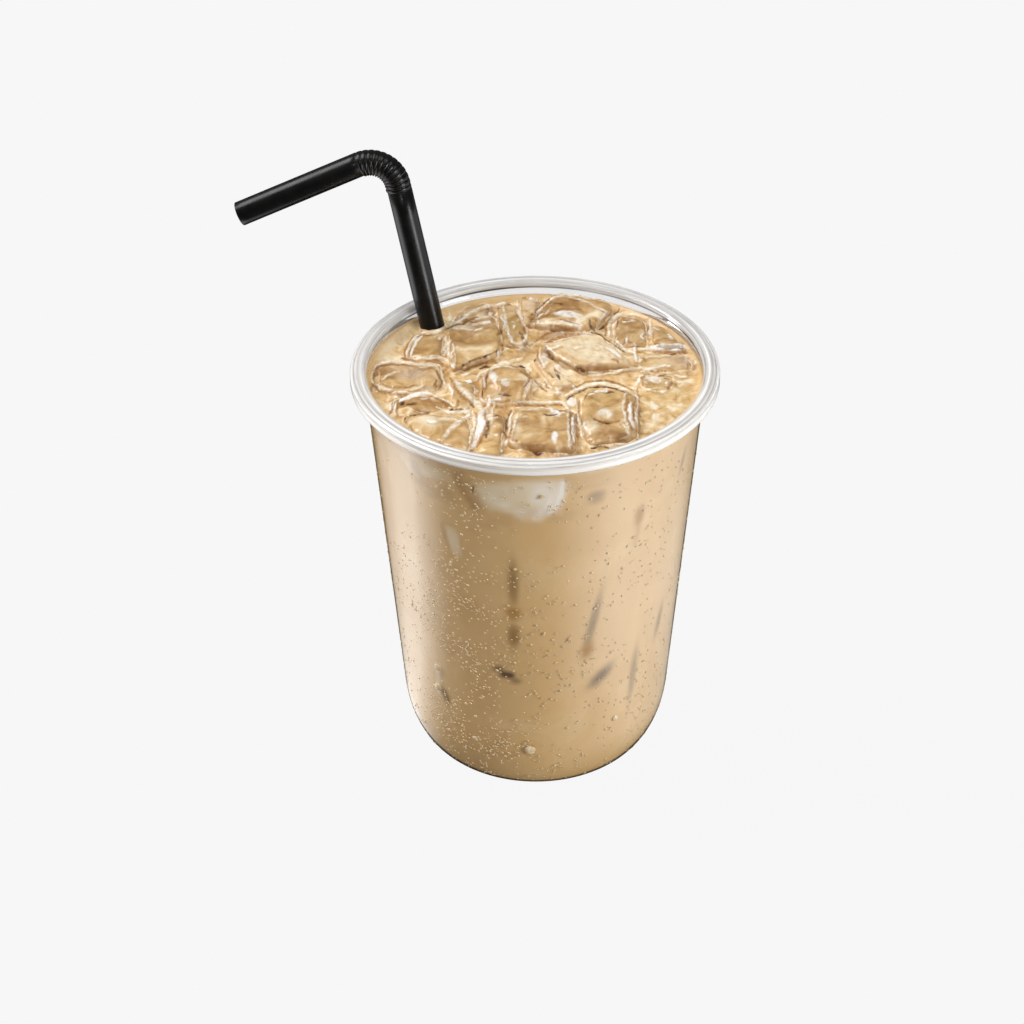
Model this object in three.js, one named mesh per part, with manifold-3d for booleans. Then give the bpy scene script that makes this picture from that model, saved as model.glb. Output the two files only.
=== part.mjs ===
// Iced milk coffee in a clear takeaway cup, with ice cubes and a black bendy straw.
// Millimetres, +Z up. The origin is the centre of the cup's flat base, and the straw's
// short arm points towards -X.

import * as THREE from 'three';
import { mergeVertices } from 'three/addons/utils/BufferGeometryUtils.js';
import Module from 'manifold-3d';

const wasm = await Module();
wasm.setup();

// Driving dimensions

// Space left between two pieces that touch.
const GAP = 0.3;
// The same round the ice, where flat triangles cut across the curve.
const ICE_CLEARANCE = 0.46;

const CUP = {
  height: 114.6,
  rimRadius: 47.5,
  // The rim is a channel that opens downwards: a top flange and an outer skirt.
  flangeThickness: 1.3,
  skirtHeight: 3.2,
  skirtThickness: 0.7,
  // The rounding of the rim's outer and inner edge, and how many flats each has.
  edgeRadius: 1.2,
  edgeSteps: 4,
  innerEdgeRadius: 0.6,
  innerEdgeSteps: 2,
  wall: 0.8,
  // Outside radius of the wall level with the lower edge of the skirt.
  wallTopRadius: 43.84,
  taper: THREE.MathUtils.degToRad(5),
  // Half axes of the elliptical corner between the wall and the flat base.
  cornerWidth: 10.7,
  cornerHeight: 21.3,
  cornerSteps: 8,
  segments: 48,
};

// The drink's surface lies this far below the top of the rim.
const HEADSPACE = 4.6;
const LEVEL = CUP.height - HEADSPACE;

const STRAW = {
  radius: 3.25,
  wall: 0.3,
  // The leg's lower end, where the axes of leg and arm cross, and the arm's open end.
  foot: new THREE.Vector3(-3.5, 3.7, 3),
  corner: new THREE.Vector3(-36.95, 37.55, 156.8),
  tip: new THREE.Vector3(-76.9, 37.55, 138.8),
  bendRadius: 7.3,
  // The pleated stretch: how far it reaches down the leg past the bend, and its folds.
  bellowsOnLeg: 1.6,
  bellowsStopShort: 0.2,
  pleats: 12,
  ridge: 0.35,
  valley: 0.05,
  sides: 16,
};

// Each cube by the corners of its top, from the near left round to the far left: place
// in plan, and height above the drink. The depth is how far the cube reaches down.
const ICE = [
  { corners: [[-34, 9.8, 1.9], [-23.6, 9.8, 2.1], [-23.8, 22.2, 2.3], [-32, 22.6, 2]], depth: 11 },
  { corners: [[-22.2, 2, 2.2], [-9, 10.2, 2.6], [-9.4, 27, 3.1], [-22.6, 24.8, 2.7]], depth: 13 },
  { corners: [[-22, 28.8, 1.5], [-11.4, 29.2, 1.6], [-11.6, 38.6, 1.5], [-18, 36.6, 1.4]], depth: 10 },
  { corners: [[-8.4, 14.8, 1.9], [-1.8, 14, 1.9], [-4.9, 38.6, 2.2], [-10.4, 38.2, 2]], depth: 12 },
  { corners: [[-3.2, 26.6, 1.6], [-1.2, 26.6, 1.6], [2.6, 40.4, 2], [-3.8, 40.6, 1.9]], depth: 10 },
  { corners: [[-0.6, 24.2, 2.7], [15.2, 22.6, 2.8], [22, 35.6, 3.5], [4.6, 41.6, 3.6]], depth: 14 },
  { corners: [[20.4, 15.2, 1.8], [30.2, 14.4, 1.9], [29.8, 29.4, 2.4], [21.9, 31.4, 2.5]], depth: 12 },
  { corners: [[31.2, 14.2, 2.1], [39.8, 13.8, 2], [37.2, 19.8, 1.8], [31.3, 26.6, 2]], depth: 10 },
  { corners: [[26.6, 2.4, 1], [41.4, 2.6, 1], [40.2, 12, 1.2], [27.4, 11.8, 1.2]], depth: 11 },
  { corners: [[10.2, 2.4, 3.1], [26, 4.4, 3], [15.7, 19.8, 3.5], [0.4, 12.8, 3.4]], depth: 14 },
  { corners: [[4, -6, 1.6], [10.4, -4.6, 1.7], [2.2, 9.8, 2.1], [-0.6, 9, 2]], depth: 11 },
  { corners: [[-14.8, -13, 2.4], [-0.2, -13, 2.4], [-0.6, 6.4, 2.8], [-13.6, 5.8, 2.8]], depth: 13 },
  { corners: [[-40.4, -6.8, 1.9], [-24.6, -7.6, 2.1], [-24, 8.2, 2.3], [-40.8, 8.2, 2.2]], depth: 12 },
  { corners: [[-37, -15.2, 1.3], [-22.6, -16.4, 1.4], [-22.8, -9.6, 1.8], [-36, -9, 1.7]], depth: 10 },
  { corners: [[-29, -29.4, 1.8], [-16.4, -36.6, 1.8], [-16, -17.8, 2.1], [-34.6, -18.2, 2]], depth: 12 },
  { corners: [[-15.2, -36.8, 1.9], [-8.6, -37.8, 2], [-7.8, -16.8, 2.3], [-14.8, -16.8, 2.2]], depth: 11 },
  { corners: [[-7.2, -33.8, 2.6], [9.8, -36.6, 2.6], [10.2, -16.6, 2.9], [-6.2, -16.4, 2.9]], depth: 14 },
  { corners: [[11.2, -33.6, 2.4], [26.2, -31.6, 2.4], [26.4, -5.4, 3], [11.2, -6.4, 3]], depth: 14 },
  { corners: [[-20.8, -16, 1.4], [-15.8, -15.6, 1.4], [-15.2, -1.8, 1.7], [-22.2, -0.6, 1.6]], depth: 10 },
  { corners: [[27.4, -5.4, 0.8], [35.4, -5.4, 0.8], [36, 1.4, 0.9], [27.4, 1.4, 0.9]], depth: 9 },
];

const ICE_FORM = {
  // A high power gives a cube with flat faces and tight corners.
  power: 5.6,
  segments: 4,
  // The melted surface wanders by this much, in waves of this frequency over the box.
  unevenness: 0.3,
  waveFrequency: 5,
  waves: 3,
  // The half width at which the sides wander by as much as the top, and the share by
  // which the cube narrows below.
  halfWidth: 8,
  narrowing: 0.12,
  seed: 41,
};

// Geometry helpers

// One closed geometry with shared vertices and no collapsed triangles.
function weld(geometry) {
  geometry.deleteAttribute('normal');
  geometry.deleteAttribute('uv');
  const merged = mergeVertices(geometry, 1e-4);
  const index = merged.index.array;
  const kept = [];
  for (let i = 0; i < index.length; i += 3) {
    const [a, b, c] = index.slice(i, i + 3);
    if (a !== b && b !== c && c !== a) kept.push(a, b, c);
  }
  merged.setIndex(kept);
  return merged;
}

function toSolid(geometry) {
  const vertProperties = Float32Array.from(geometry.attributes.position.array);
  const triVerts = Uint32Array.from(geometry.index.array);
  return new wasm.Manifold(new wasm.Mesh({ numProp: 3, vertProperties, triVerts }));
}

function toGeometry(solid) {
  const mesh = solid.getMesh();
  const geometry = new THREE.BufferGeometry();
  geometry.setAttribute('position', new THREE.BufferAttribute(mesh.vertProperties, 3));
  geometry.setIndex(new THREE.BufferAttribute(mesh.triVerts, 1));
  return geometry;
}

// A profile of radius and height, turned about Z.
function revolve(profile) {
  return weld(new THREE.LatheGeometry(profile, CUP.segments).rotateX(Math.PI / 2));
}

// Repeatable random numbers between 0 and 1.
function randomFrom(seed) {
  let state = seed;
  return () => {
    state = (state * 1664525 + 1013904223) % 4294967296;
    return state / 4294967296;
  };
}

// Cup

function wallRadius(z) {
  return CUP.wallTopRadius + (z - CUP.height + CUP.skirtHeight) * Math.tan(CUP.taper);
}

// The cup's outside, moved in by an offset, from the axis up to a height.
function bowlProfile(offset, top) {
  const { cornerWidth, cornerHeight, cornerSteps, taper } = CUP;
  const cornerEnd = Math.atan(cornerWidth / (cornerHeight * Math.tan(taper)));
  const cornerTop = cornerHeight * (1 - Math.cos(cornerEnd));
  const footRadius = wallRadius(cornerTop) - cornerWidth * Math.sin(cornerEnd);
  const points = [new THREE.Vector2(0, offset)];
  for (let i = 0; i <= cornerSteps; i += 1) {
    const t = (cornerEnd * i) / cornerSteps;
    const outward = new THREE.Vector2(Math.sin(t) / cornerWidth, -Math.cos(t) / cornerHeight);
    const point = new THREE.Vector2(
      footRadius + cornerWidth * Math.sin(t),
      cornerHeight * (1 - Math.cos(t)),
    );
    points.push(point.addScaledVector(outward.normalize(), -offset));
  }
  points.push(new THREE.Vector2(wallRadius(top) - offset / Math.cos(taper), top));
  return points;
}

// Part of a circle that touches the top of the rim, between two angles.
function edgeArc(centreRadius, radius, from, to, steps) {
  const points = [];
  for (let i = 0; i <= steps; i += 1) {
    const angle = from + ((to - from) * i) / steps;
    points.push(new THREE.Vector2(
      centreRadius + radius * Math.cos(angle),
      CUP.height - radius + radius * Math.sin(angle),
    ));
  }
  return points;
}

function rimProfile() {
  const { height, rimRadius, skirtThickness, edgeRadius, innerEdgeRadius } = CUP;
  const underFlange = height - CUP.flangeThickness;
  const skirtEnd = height - CUP.skirtHeight;
  const mouthRadius = wallRadius(height) - CUP.wall / Math.cos(CUP.taper);
  return [
    new THREE.Vector2(rimRadius - skirtThickness, underFlange),
    new THREE.Vector2(rimRadius - skirtThickness, skirtEnd),
    new THREE.Vector2(rimRadius, skirtEnd),
    ...edgeArc(rimRadius - edgeRadius, edgeRadius, 0, Math.PI / 2, CUP.edgeSteps),
    ...edgeArc(mouthRadius + innerEdgeRadius, innerEdgeRadius, Math.PI / 2, Math.PI,
      CUP.innerEdgeSteps),
  ];
}

function cupGeometry() {
  const outside = bowlProfile(0, CUP.height - CUP.flangeThickness);
  const inside = bowlProfile(CUP.wall, CUP.height - CUP.flangeThickness);
  return revolve([...outside, ...rimProfile(), ...inside.reverse()]);
}

// Straw

// A point on the straw's axis and the axis direction there, measured from the foot.
function strawAxis() {
  const legWay = STRAW.corner.clone().sub(STRAW.foot).normalize();
  const armWay = STRAW.tip.clone().sub(STRAW.corner).normalize();
  const side = legWay.clone().cross(armWay).normalize();
  const turn = legWay.angleTo(armWay);
  const cut = STRAW.bendRadius * Math.tan(turn / 2);
  const legLength = STRAW.corner.distanceTo(STRAW.foot) - cut;
  const bendLength = STRAW.bendRadius * turn;
  const armLength = STRAW.tip.distanceTo(STRAW.corner) - cut;
  const at = (distance) => {
    const turned = THREE.MathUtils.clamp((distance - legLength) / STRAW.bendRadius, 0, turn);
    const way = legWay.clone().applyAxisAngle(side, turned);
    const centre = STRAW.foot.clone().addScaledVector(legWay, Math.min(distance, legLength));
    const inwards = side.clone().cross(legWay);
    centre.addScaledVector(inwards, STRAW.bendRadius * (1 - Math.cos(turned)));
    centre.addScaledVector(legWay, STRAW.bendRadius * Math.sin(turned));
    centre.addScaledVector(way, Math.max(distance - legLength - bendLength, 0));
    return { centre, way };
  };
  return { at, side, legLength, bendLength, length: legLength + bendLength + armLength };
}

// Rings along the axis as [distance, radius], with the pleats as ridges and valleys.
function strawStations(axis) {
  const start = axis.legLength - STRAW.bellowsOnLeg;
  const end = axis.legLength + axis.bendLength - STRAW.bellowsStopShort;
  const stations = [[0, STRAW.radius], [start, STRAW.radius]];
  for (let i = 1; i < 2 * STRAW.pleats; i += 1) {
    const distance = start + ((end - start) * i) / (2 * STRAW.pleats);
    const fold = i % 2 ? -STRAW.valley : STRAW.ridge;
    stations.push([distance, STRAW.radius + fold]);
  }
  stations.push([end, STRAW.radius], [axis.length, STRAW.radius]);
  return stations;
}

// Rings of points joined into one closed skin, and closed from the last to the first
// ring, or with a flat cap at each end.
function skinRings(rings, looped) {
  const sides = rings[0].length;
  const points = rings.flat();
  const index = [];
  const last = looped ? rings.length : rings.length - 1;
  for (let i = 0; i < last; i += 1) {
    const next = (i + 1) % rings.length;
    for (let j = 0; j < sides; j += 1) {
      const k = (j + 1) % sides;
      index.push(i * sides + j, i * sides + k, next * sides + k);
      index.push(i * sides + j, next * sides + k, next * sides + j);
    }
  }
  if (!looped) {
    const top = (rings.length - 1) * sides;
    for (let j = 1; j < sides - 1; j += 1) {
      index.push(0, j + 1, j);
      index.push(top, top + j, top + j + 1);
    }
  }
  const geometry = new THREE.BufferGeometry().setFromPoints(points);
  geometry.setIndex(index);
  return geometry;
}

function ring(axis, distance, radius) {
  const { centre, way } = axis.at(distance);
  const across = way.clone().cross(axis.side);
  const points = [];
  for (let j = 0; j < STRAW.sides; j += 1) {
    const angle = (2 * Math.PI * j) / STRAW.sides;
    points.push(centre.clone()
      .addScaledVector(across, -radius * Math.cos(angle))
      .addScaledVector(axis.side, radius * Math.sin(angle)));
  }
  return points;
}

function strawGeometry() {
  const axis = strawAxis();
  const stations = strawStations(axis);
  const outside = stations.map(([distance, radius]) => ring(axis, distance, radius));
  const inside = stations.map(([distance, radius]) => ring(axis, distance, radius - STRAW.wall));
  return skinRings([...outside, ...inside.reverse()], true);
}

// The straight leg with its bore filled, wide enough to clear the drink.
function strawSleeve() {
  const axis = strawAxis();
  const radius = STRAW.radius + GAP / Math.cos(Math.PI / STRAW.sides);
  return skinRings([ring(axis, -GAP, radius), ring(axis, axis.legLength, radius)], false);
}

// Ice

// Where a cube stands: the middle of its corners, at the drink's surface.
function iceMiddle(cube) {
  const sum = cube.corners.reduce(([x, y], corner) => [x + corner[0], y + corner[1]], [0, 0]);
  return new THREE.Vector3(sum[0] / 4, sum[1] / 4, LEVEL);
}

// A melted cube about its middle: a superellipsoid, which is a box with its edges rounded
// off, drawn out to the cube's four corners, with a few slow waves over it.
function iceGeometry(cube, seed) {
  const { power, segments, unevenness, waveFrequency, halfWidth, narrowing } = ICE_FORM;
  const random = randomFrom(seed);
  const waves = Array.from({ length: ICE_FORM.waves }, () => ({
    way: new THREE.Vector3(random() - 0.5, random() - 0.5, random() - 0.5),
    start: random() * 2 * Math.PI,
  }));
  const [nearLeft, nearRight, farRight, farLeft] = cube.corners.map((c) => new THREE.Vector3(...c));
  const middle = iceMiddle(cube);
  const box = weld(new THREE.BoxGeometry(2, 2, 2, segments, segments, segments));
  const position = box.attributes.position;
  for (let i = 0; i < position.count; i += 1) {
    const unit = new THREE.Vector3().fromBufferAttribute(position, i);
    const sum = [unit.x, unit.y, unit.z].reduce((total, part) => total + Math.abs(part) ** power, 0);
    unit.multiplyScalar(sum ** (-1 / power));
    const swell = waves.reduce((total, { way, start }) => (
      total + Math.sin(unit.dot(way) * waveFrequency + start) / waves.length
    ), 0);
    const across = (1 + unit.x) / 2;
    const near = nearLeft.clone().lerp(nearRight, across);
    const far = farLeft.clone().lerp(farRight, across);
    const top = near.lerp(far, (1 + unit.y) / 2);
    const down = (1 - unit.z) / 2;
    const narrow = 1 - narrowing * down + (unevenness * swell) / halfWidth;
    position.setXYZ(
      i,
      (top.x - middle.x) * narrow,
      (top.y - middle.y) * narrow,
      THREE.MathUtils.lerp(top.z, -cube.depth, down) + unevenness * swell * unit.z,
    );
  }
  return box;
}

// The same geometry with every point moved out along its normal.
function swollen(geometry, distance) {
  const grown = geometry.clone();
  grown.computeVertexNormals();
  const { position, normal } = grown.attributes;
  for (let i = 0; i < position.count; i += 1) {
    position.setXYZ(
      i,
      position.getX(i) + normal.getX(i) * distance,
      position.getY(i) + normal.getY(i) * distance,
      position.getZ(i) + normal.getZ(i) * distance,
    );
  }
  return grown;
}

// Drink

// The drink fills the cup up to its level, around the ice and the straw.
function coffeeGeometry() {
  const profile = bowlProfile(CUP.wall + GAP, LEVEL);
  profile.push(new THREE.Vector2(0, LEVEL));
  let drink = toSolid(revolve(profile)).subtract(toSolid(strawSleeve()));
  ICE.forEach((cube, i) => {
    const hollow = swollen(iceGeometry(cube, ICE_FORM.seed + i), ICE_CLEARANCE);
    drink = drink.subtract(toSolid(hollow.translate(...iceMiddle(cube))));
  });
  return toGeometry(drink);
}

// Assembly

const MATERIALS = {
  plastic: new THREE.MeshStandardMaterial({
    color: 0xe9e8ea, roughness: 0.12, metalness: 0, transparent: true, opacity: 0.35,
  }),
  coffee: new THREE.MeshStandardMaterial({ color: 0xc9a274, roughness: 0.3, metalness: 0 }),
  ice: new THREE.MeshStandardMaterial({
    color: 0xeadbc4, roughness: 0.08, metalness: 0, transparent: true, opacity: 0.6,
  }),
  straw: new THREE.MeshStandardMaterial({ color: 0x0b0b0a, roughness: 0.35, metalness: 0 }),
};

function addPiece(group, name, geometry, material) {
  const mesh = new THREE.Mesh(geometry, material);
  mesh.name = name;
  mesh.geometry.computeVertexNormals();
  group.add(mesh);
  return mesh;
}

function buildIcedCoffee() {
  const group = new THREE.Group();
  addPiece(group, 'cup', cupGeometry(), MATERIALS.plastic);
  addPiece(group, 'coffee', coffeeGeometry(), MATERIALS.coffee);
  addPiece(group, 'straw', strawGeometry(), MATERIALS.straw);
  ICE.forEach((cube, i) => {
    const name = `ice_${String(i + 1).padStart(2, '0')}`;
    const geometry = iceGeometry(cube, ICE_FORM.seed + i);
    addPiece(group, name, geometry, MATERIALS.ice).position.copy(iceMiddle(cube));
  });
  return group;
}

export default buildIcedCoffee();
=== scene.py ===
"""Iced milk coffee with ice cubes and a bendy straw in a clear cup: what the camera sees.

Sizes are in millimetres, as in the solids, and every piece is scaled to metres as it is made.
"""

import math

import bpy
import numpy as np
from mathutils import Matrix, Vector
from mathutils.bvhtree import BVHTree


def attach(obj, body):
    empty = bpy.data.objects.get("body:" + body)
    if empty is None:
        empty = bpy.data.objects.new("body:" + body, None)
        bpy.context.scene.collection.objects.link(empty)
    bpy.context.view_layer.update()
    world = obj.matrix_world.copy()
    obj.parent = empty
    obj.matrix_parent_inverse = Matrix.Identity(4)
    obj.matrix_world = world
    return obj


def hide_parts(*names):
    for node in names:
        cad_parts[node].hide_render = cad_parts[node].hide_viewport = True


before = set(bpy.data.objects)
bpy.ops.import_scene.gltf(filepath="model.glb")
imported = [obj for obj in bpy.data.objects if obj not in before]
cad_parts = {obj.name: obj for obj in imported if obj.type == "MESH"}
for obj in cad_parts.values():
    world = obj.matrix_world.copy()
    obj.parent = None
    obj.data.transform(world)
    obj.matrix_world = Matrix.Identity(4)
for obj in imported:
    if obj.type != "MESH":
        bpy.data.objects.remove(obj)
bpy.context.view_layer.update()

MM = 0.001

# The photo's camera: metres from the object's middle, and angles.
CAMERA_DISTANCE = 0.85
CAMERA_ELEVATION = math.radians(33.73)
CAMERA_ROLL = math.radians(-0.44)

# What the lamps are aimed at, in metres.
AIM = Vector((0, 0, 0.07))

# Driving sizes, the same as the solids have.
HEIGHT = 114.6
LEVEL = 110.0
RIM_RADIUS = 47.5
SKIRT_HEIGHT = 3.2
SKIRT_THICKNESS = 0.7
FLANGE_THICKNESS = 1.3
WALL = 0.8
WALL_TOP_RADIUS = 43.84
TAPER = math.radians(5)
CORNER_WIDTH = 10.7
CORNER_HEIGHT = 21.3

STRAW_RADIUS = 3.25
STRAW_WALL = 0.3
STRAW_FOOT = Vector((-3.5, 3.7, 3))
STRAW_CORNER = Vector((-36.95, 37.55, 156.8))
STRAW_TIP = Vector((-76.9, 37.55, 138.8))
BEND_RADIUS = 7.3
BELLOWS_ON_LEG = 1.6
BELLOWS_STOP_SHORT = 0.2
PLEATS = 12

# The straw's folds: height of a ridge inside the bend and depth of a valley, measured from the plain
# tube, and how much of a ridge is left on the outside of the bend.
RIDGE = 0.3
VALLEY = 0.16
RIDGE_OUTSIDE = 0.36
STATIONS_PER_PLEAT = 8
STRAW_SIDES = 48

# How far the drink reaches into the ice and into the wall.
WETTING = 0.22
IN_WALL = 0.3

# How finely pieces are meshed.
CUP_SEGMENTS = 256
DRINK_SEGMENTS = 448
SURFACE_STEP = 0.29
ICE_STEP = 0.4
CUTTER_STEP = 1.1
RIM_STEP = 0.14
MOUTH_STEP = 0.16

# How far down inside the mouth the plastic is as milky as the rim.
MILKY_BAND = 2.7

# Each cube: its name's number, the corners of its top from the near left round to the far left as
# place in plan and height above the drink, its depth, the power that squares it, how far its top
# is hollowed out, and how milky it is.
ICE = [
    (1, [(-34, 9.8, 1.9), (-23.6, 9.8, 2.1), (-23.8, 22.2, 2.3), (-32, 22.6, 2)], 11, 5, 0.5, 0.1),
    (2, [(-22.2, 2, 2.2), (-9, 10.2, 2.6), (-9.4, 27, 3.1), (-22.6, 24.8, 2.7)], 13, 8, 0.3, 0.1),
    (3, [(-22, 28.8, 1.5), (-11.4, 29.2, 1.6), (-11.6, 38.6, 1.5), (-18, 36.6, 1.4)], 10, 6, 0.2, 0),
    (4, [(-8.4, 14.8, 1.9), (-1.8, 14, 1.9), (-4.9, 38.6, 2.2), (-10.4, 38.2, 2)], 12, 6, 0.2, 0),
    (5, [(-3.2, 26.6, 1.6), (-1.2, 26.6, 1.6), (2.6, 40.4, 2), (-3.8, 40.6, 1.9)], 10, 5, 0.1, 0.6),
    (6, [(-0.6, 24.2, 2.7), (15.2, 22.6, 2.8), (22, 35.6, 3.5), (4.6, 41.6, 3.6)], 14, 8, 0.3, 0.1),
    (7, [(20.4, 15.2, 1.8), (30.2, 14.4, 1.9), (29.8, 29.4, 2.4), (21.9, 31.4, 2.5)], 12, 5, 0.7, 0),
    (8, [(31.2, 14.2, 2.1), (39.8, 13.8, 2), (37.2, 19.8, 1.8), (31.3, 26.6, 2)], 10, 6, 0.2, 0.1),
    (9, [(26.6, 2.4, 1), (41.4, 2.6, 1), (40.2, 12, 1.2), (27.4, 11.8, 1.2)], 11, 6, 0.1, 0.4),
    (10, [(10.2, 2.4, 3.1), (26, 4.4, 3), (15.7, 19.8, 3.5), (0.4, 12.8, 3.4)], 14, 9, 0.1, 0.6),
    (11, [(4, -6, 1.6), (10.4, -4.6, 1.7), (2.2, 9.8, 2.1), (-0.6, 9, 2)], 11, 5, 0.1, 0.7),
    (12, [(-14.8, -13, 2.4), (-0.2, -13, 2.4), (-0.6, 6.4, 2.8), (-13.6, 5.8, 2.8)], 13, 4, -0.2, 0.1),
    (13, [(-40.4, -6.8, 1.9), (-24.6, -7.6, 2.1), (-24, 8.2, 2.3), (-40.8, 8.2, 2.2)], 12, 5, 0.6, 0.1),
    (14, [(-37, -15.2, 1.3), (-22.6, -16.4, 1.4), (-22.8, -9.6, 1.8), (-36, -9, 1.7)], 10, 5, 0.2, 0.3),
    (15, [(-29, -29.4, 1.8), (-16.4, -36.6, 1.8), (-16, -17.8, 2.1), (-34.6, -18.2, 2)], 12, 6, 0.2, 0.2),
    (16, [(-15.2, -36.8, 1.9), (-8.6, -37.8, 2), (-7.8, -16.8, 2.3), (-14.8, -16.8, 2.2)], 11, 6, 0.1, 0.4),
    (17, [(-7.2, -33.8, 2.6), (9.8, -36.6, 2.6), (10.2, -16.6, 2.9), (-6.2, -16.4, 2.9)], 14, 8, 0.2, 0.1),
    (18, [(11.2, -33.6, 2.4), (26.2, -31.6, 2.4), (26.4, -5.4, 3), (11.2, -6.4, 3)], 14, 5, 0.5, 0.1),
    (19, [(-20.8, -16, 1.4), (-15.8, -15.6, 1.4), (-15.2, -1.8, 1.7), (-22.2, -0.6, 1.6)], 10, 5, 0.1, 0.2),
    (20, [(27.4, -5.4, 0.8), (35.4, -5.4, 0.8), (36, 1.4, 0.9), (27.4, 1.4, 0.9)], 9, 5, 0.1, 0.3),
]
# How much narrower a cube is at its foot.
ICE_NARROWING = 0.12
ICE_SEED = 41
# Painted glints and shade along the cubes' edges: their seed, and how many to an edge.
GLINT_SEED = 17
GLINTS_PER_EDGE = 3

# The most of the ice that its film of milk can hide.
FILM_MOST = 0.97

# How far the shaded side of a pale line lies from it, across and up as the camera sees it.
SHADE_SIDE = np.array([-0.25, 0.42])

# The tones of ice and drink: colour, and how far a line of it lifts the surface.
# White and cream paint highlights, and brown and dark paint shade.
TONES = {
    "white": ((0.98, 0.96, 0.92), 0.12),
    "cream": ((0.88, 0.77, 0.57), 0.14),
    "veil": ((0.74, 0.60, 0.48), 0),
    "pale": ((0.78, 0.61, 0.37), 0),
    "gold": ((0.60, 0.40, 0.14), 0.05),
    "tan": ((0.50, 0.30, 0.12), 0),
    "brown": ((0.34, 0.165, 0.055), -0.12),
    "dark": ((0.10, 0.035, 0.010), -0.16),
}
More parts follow.
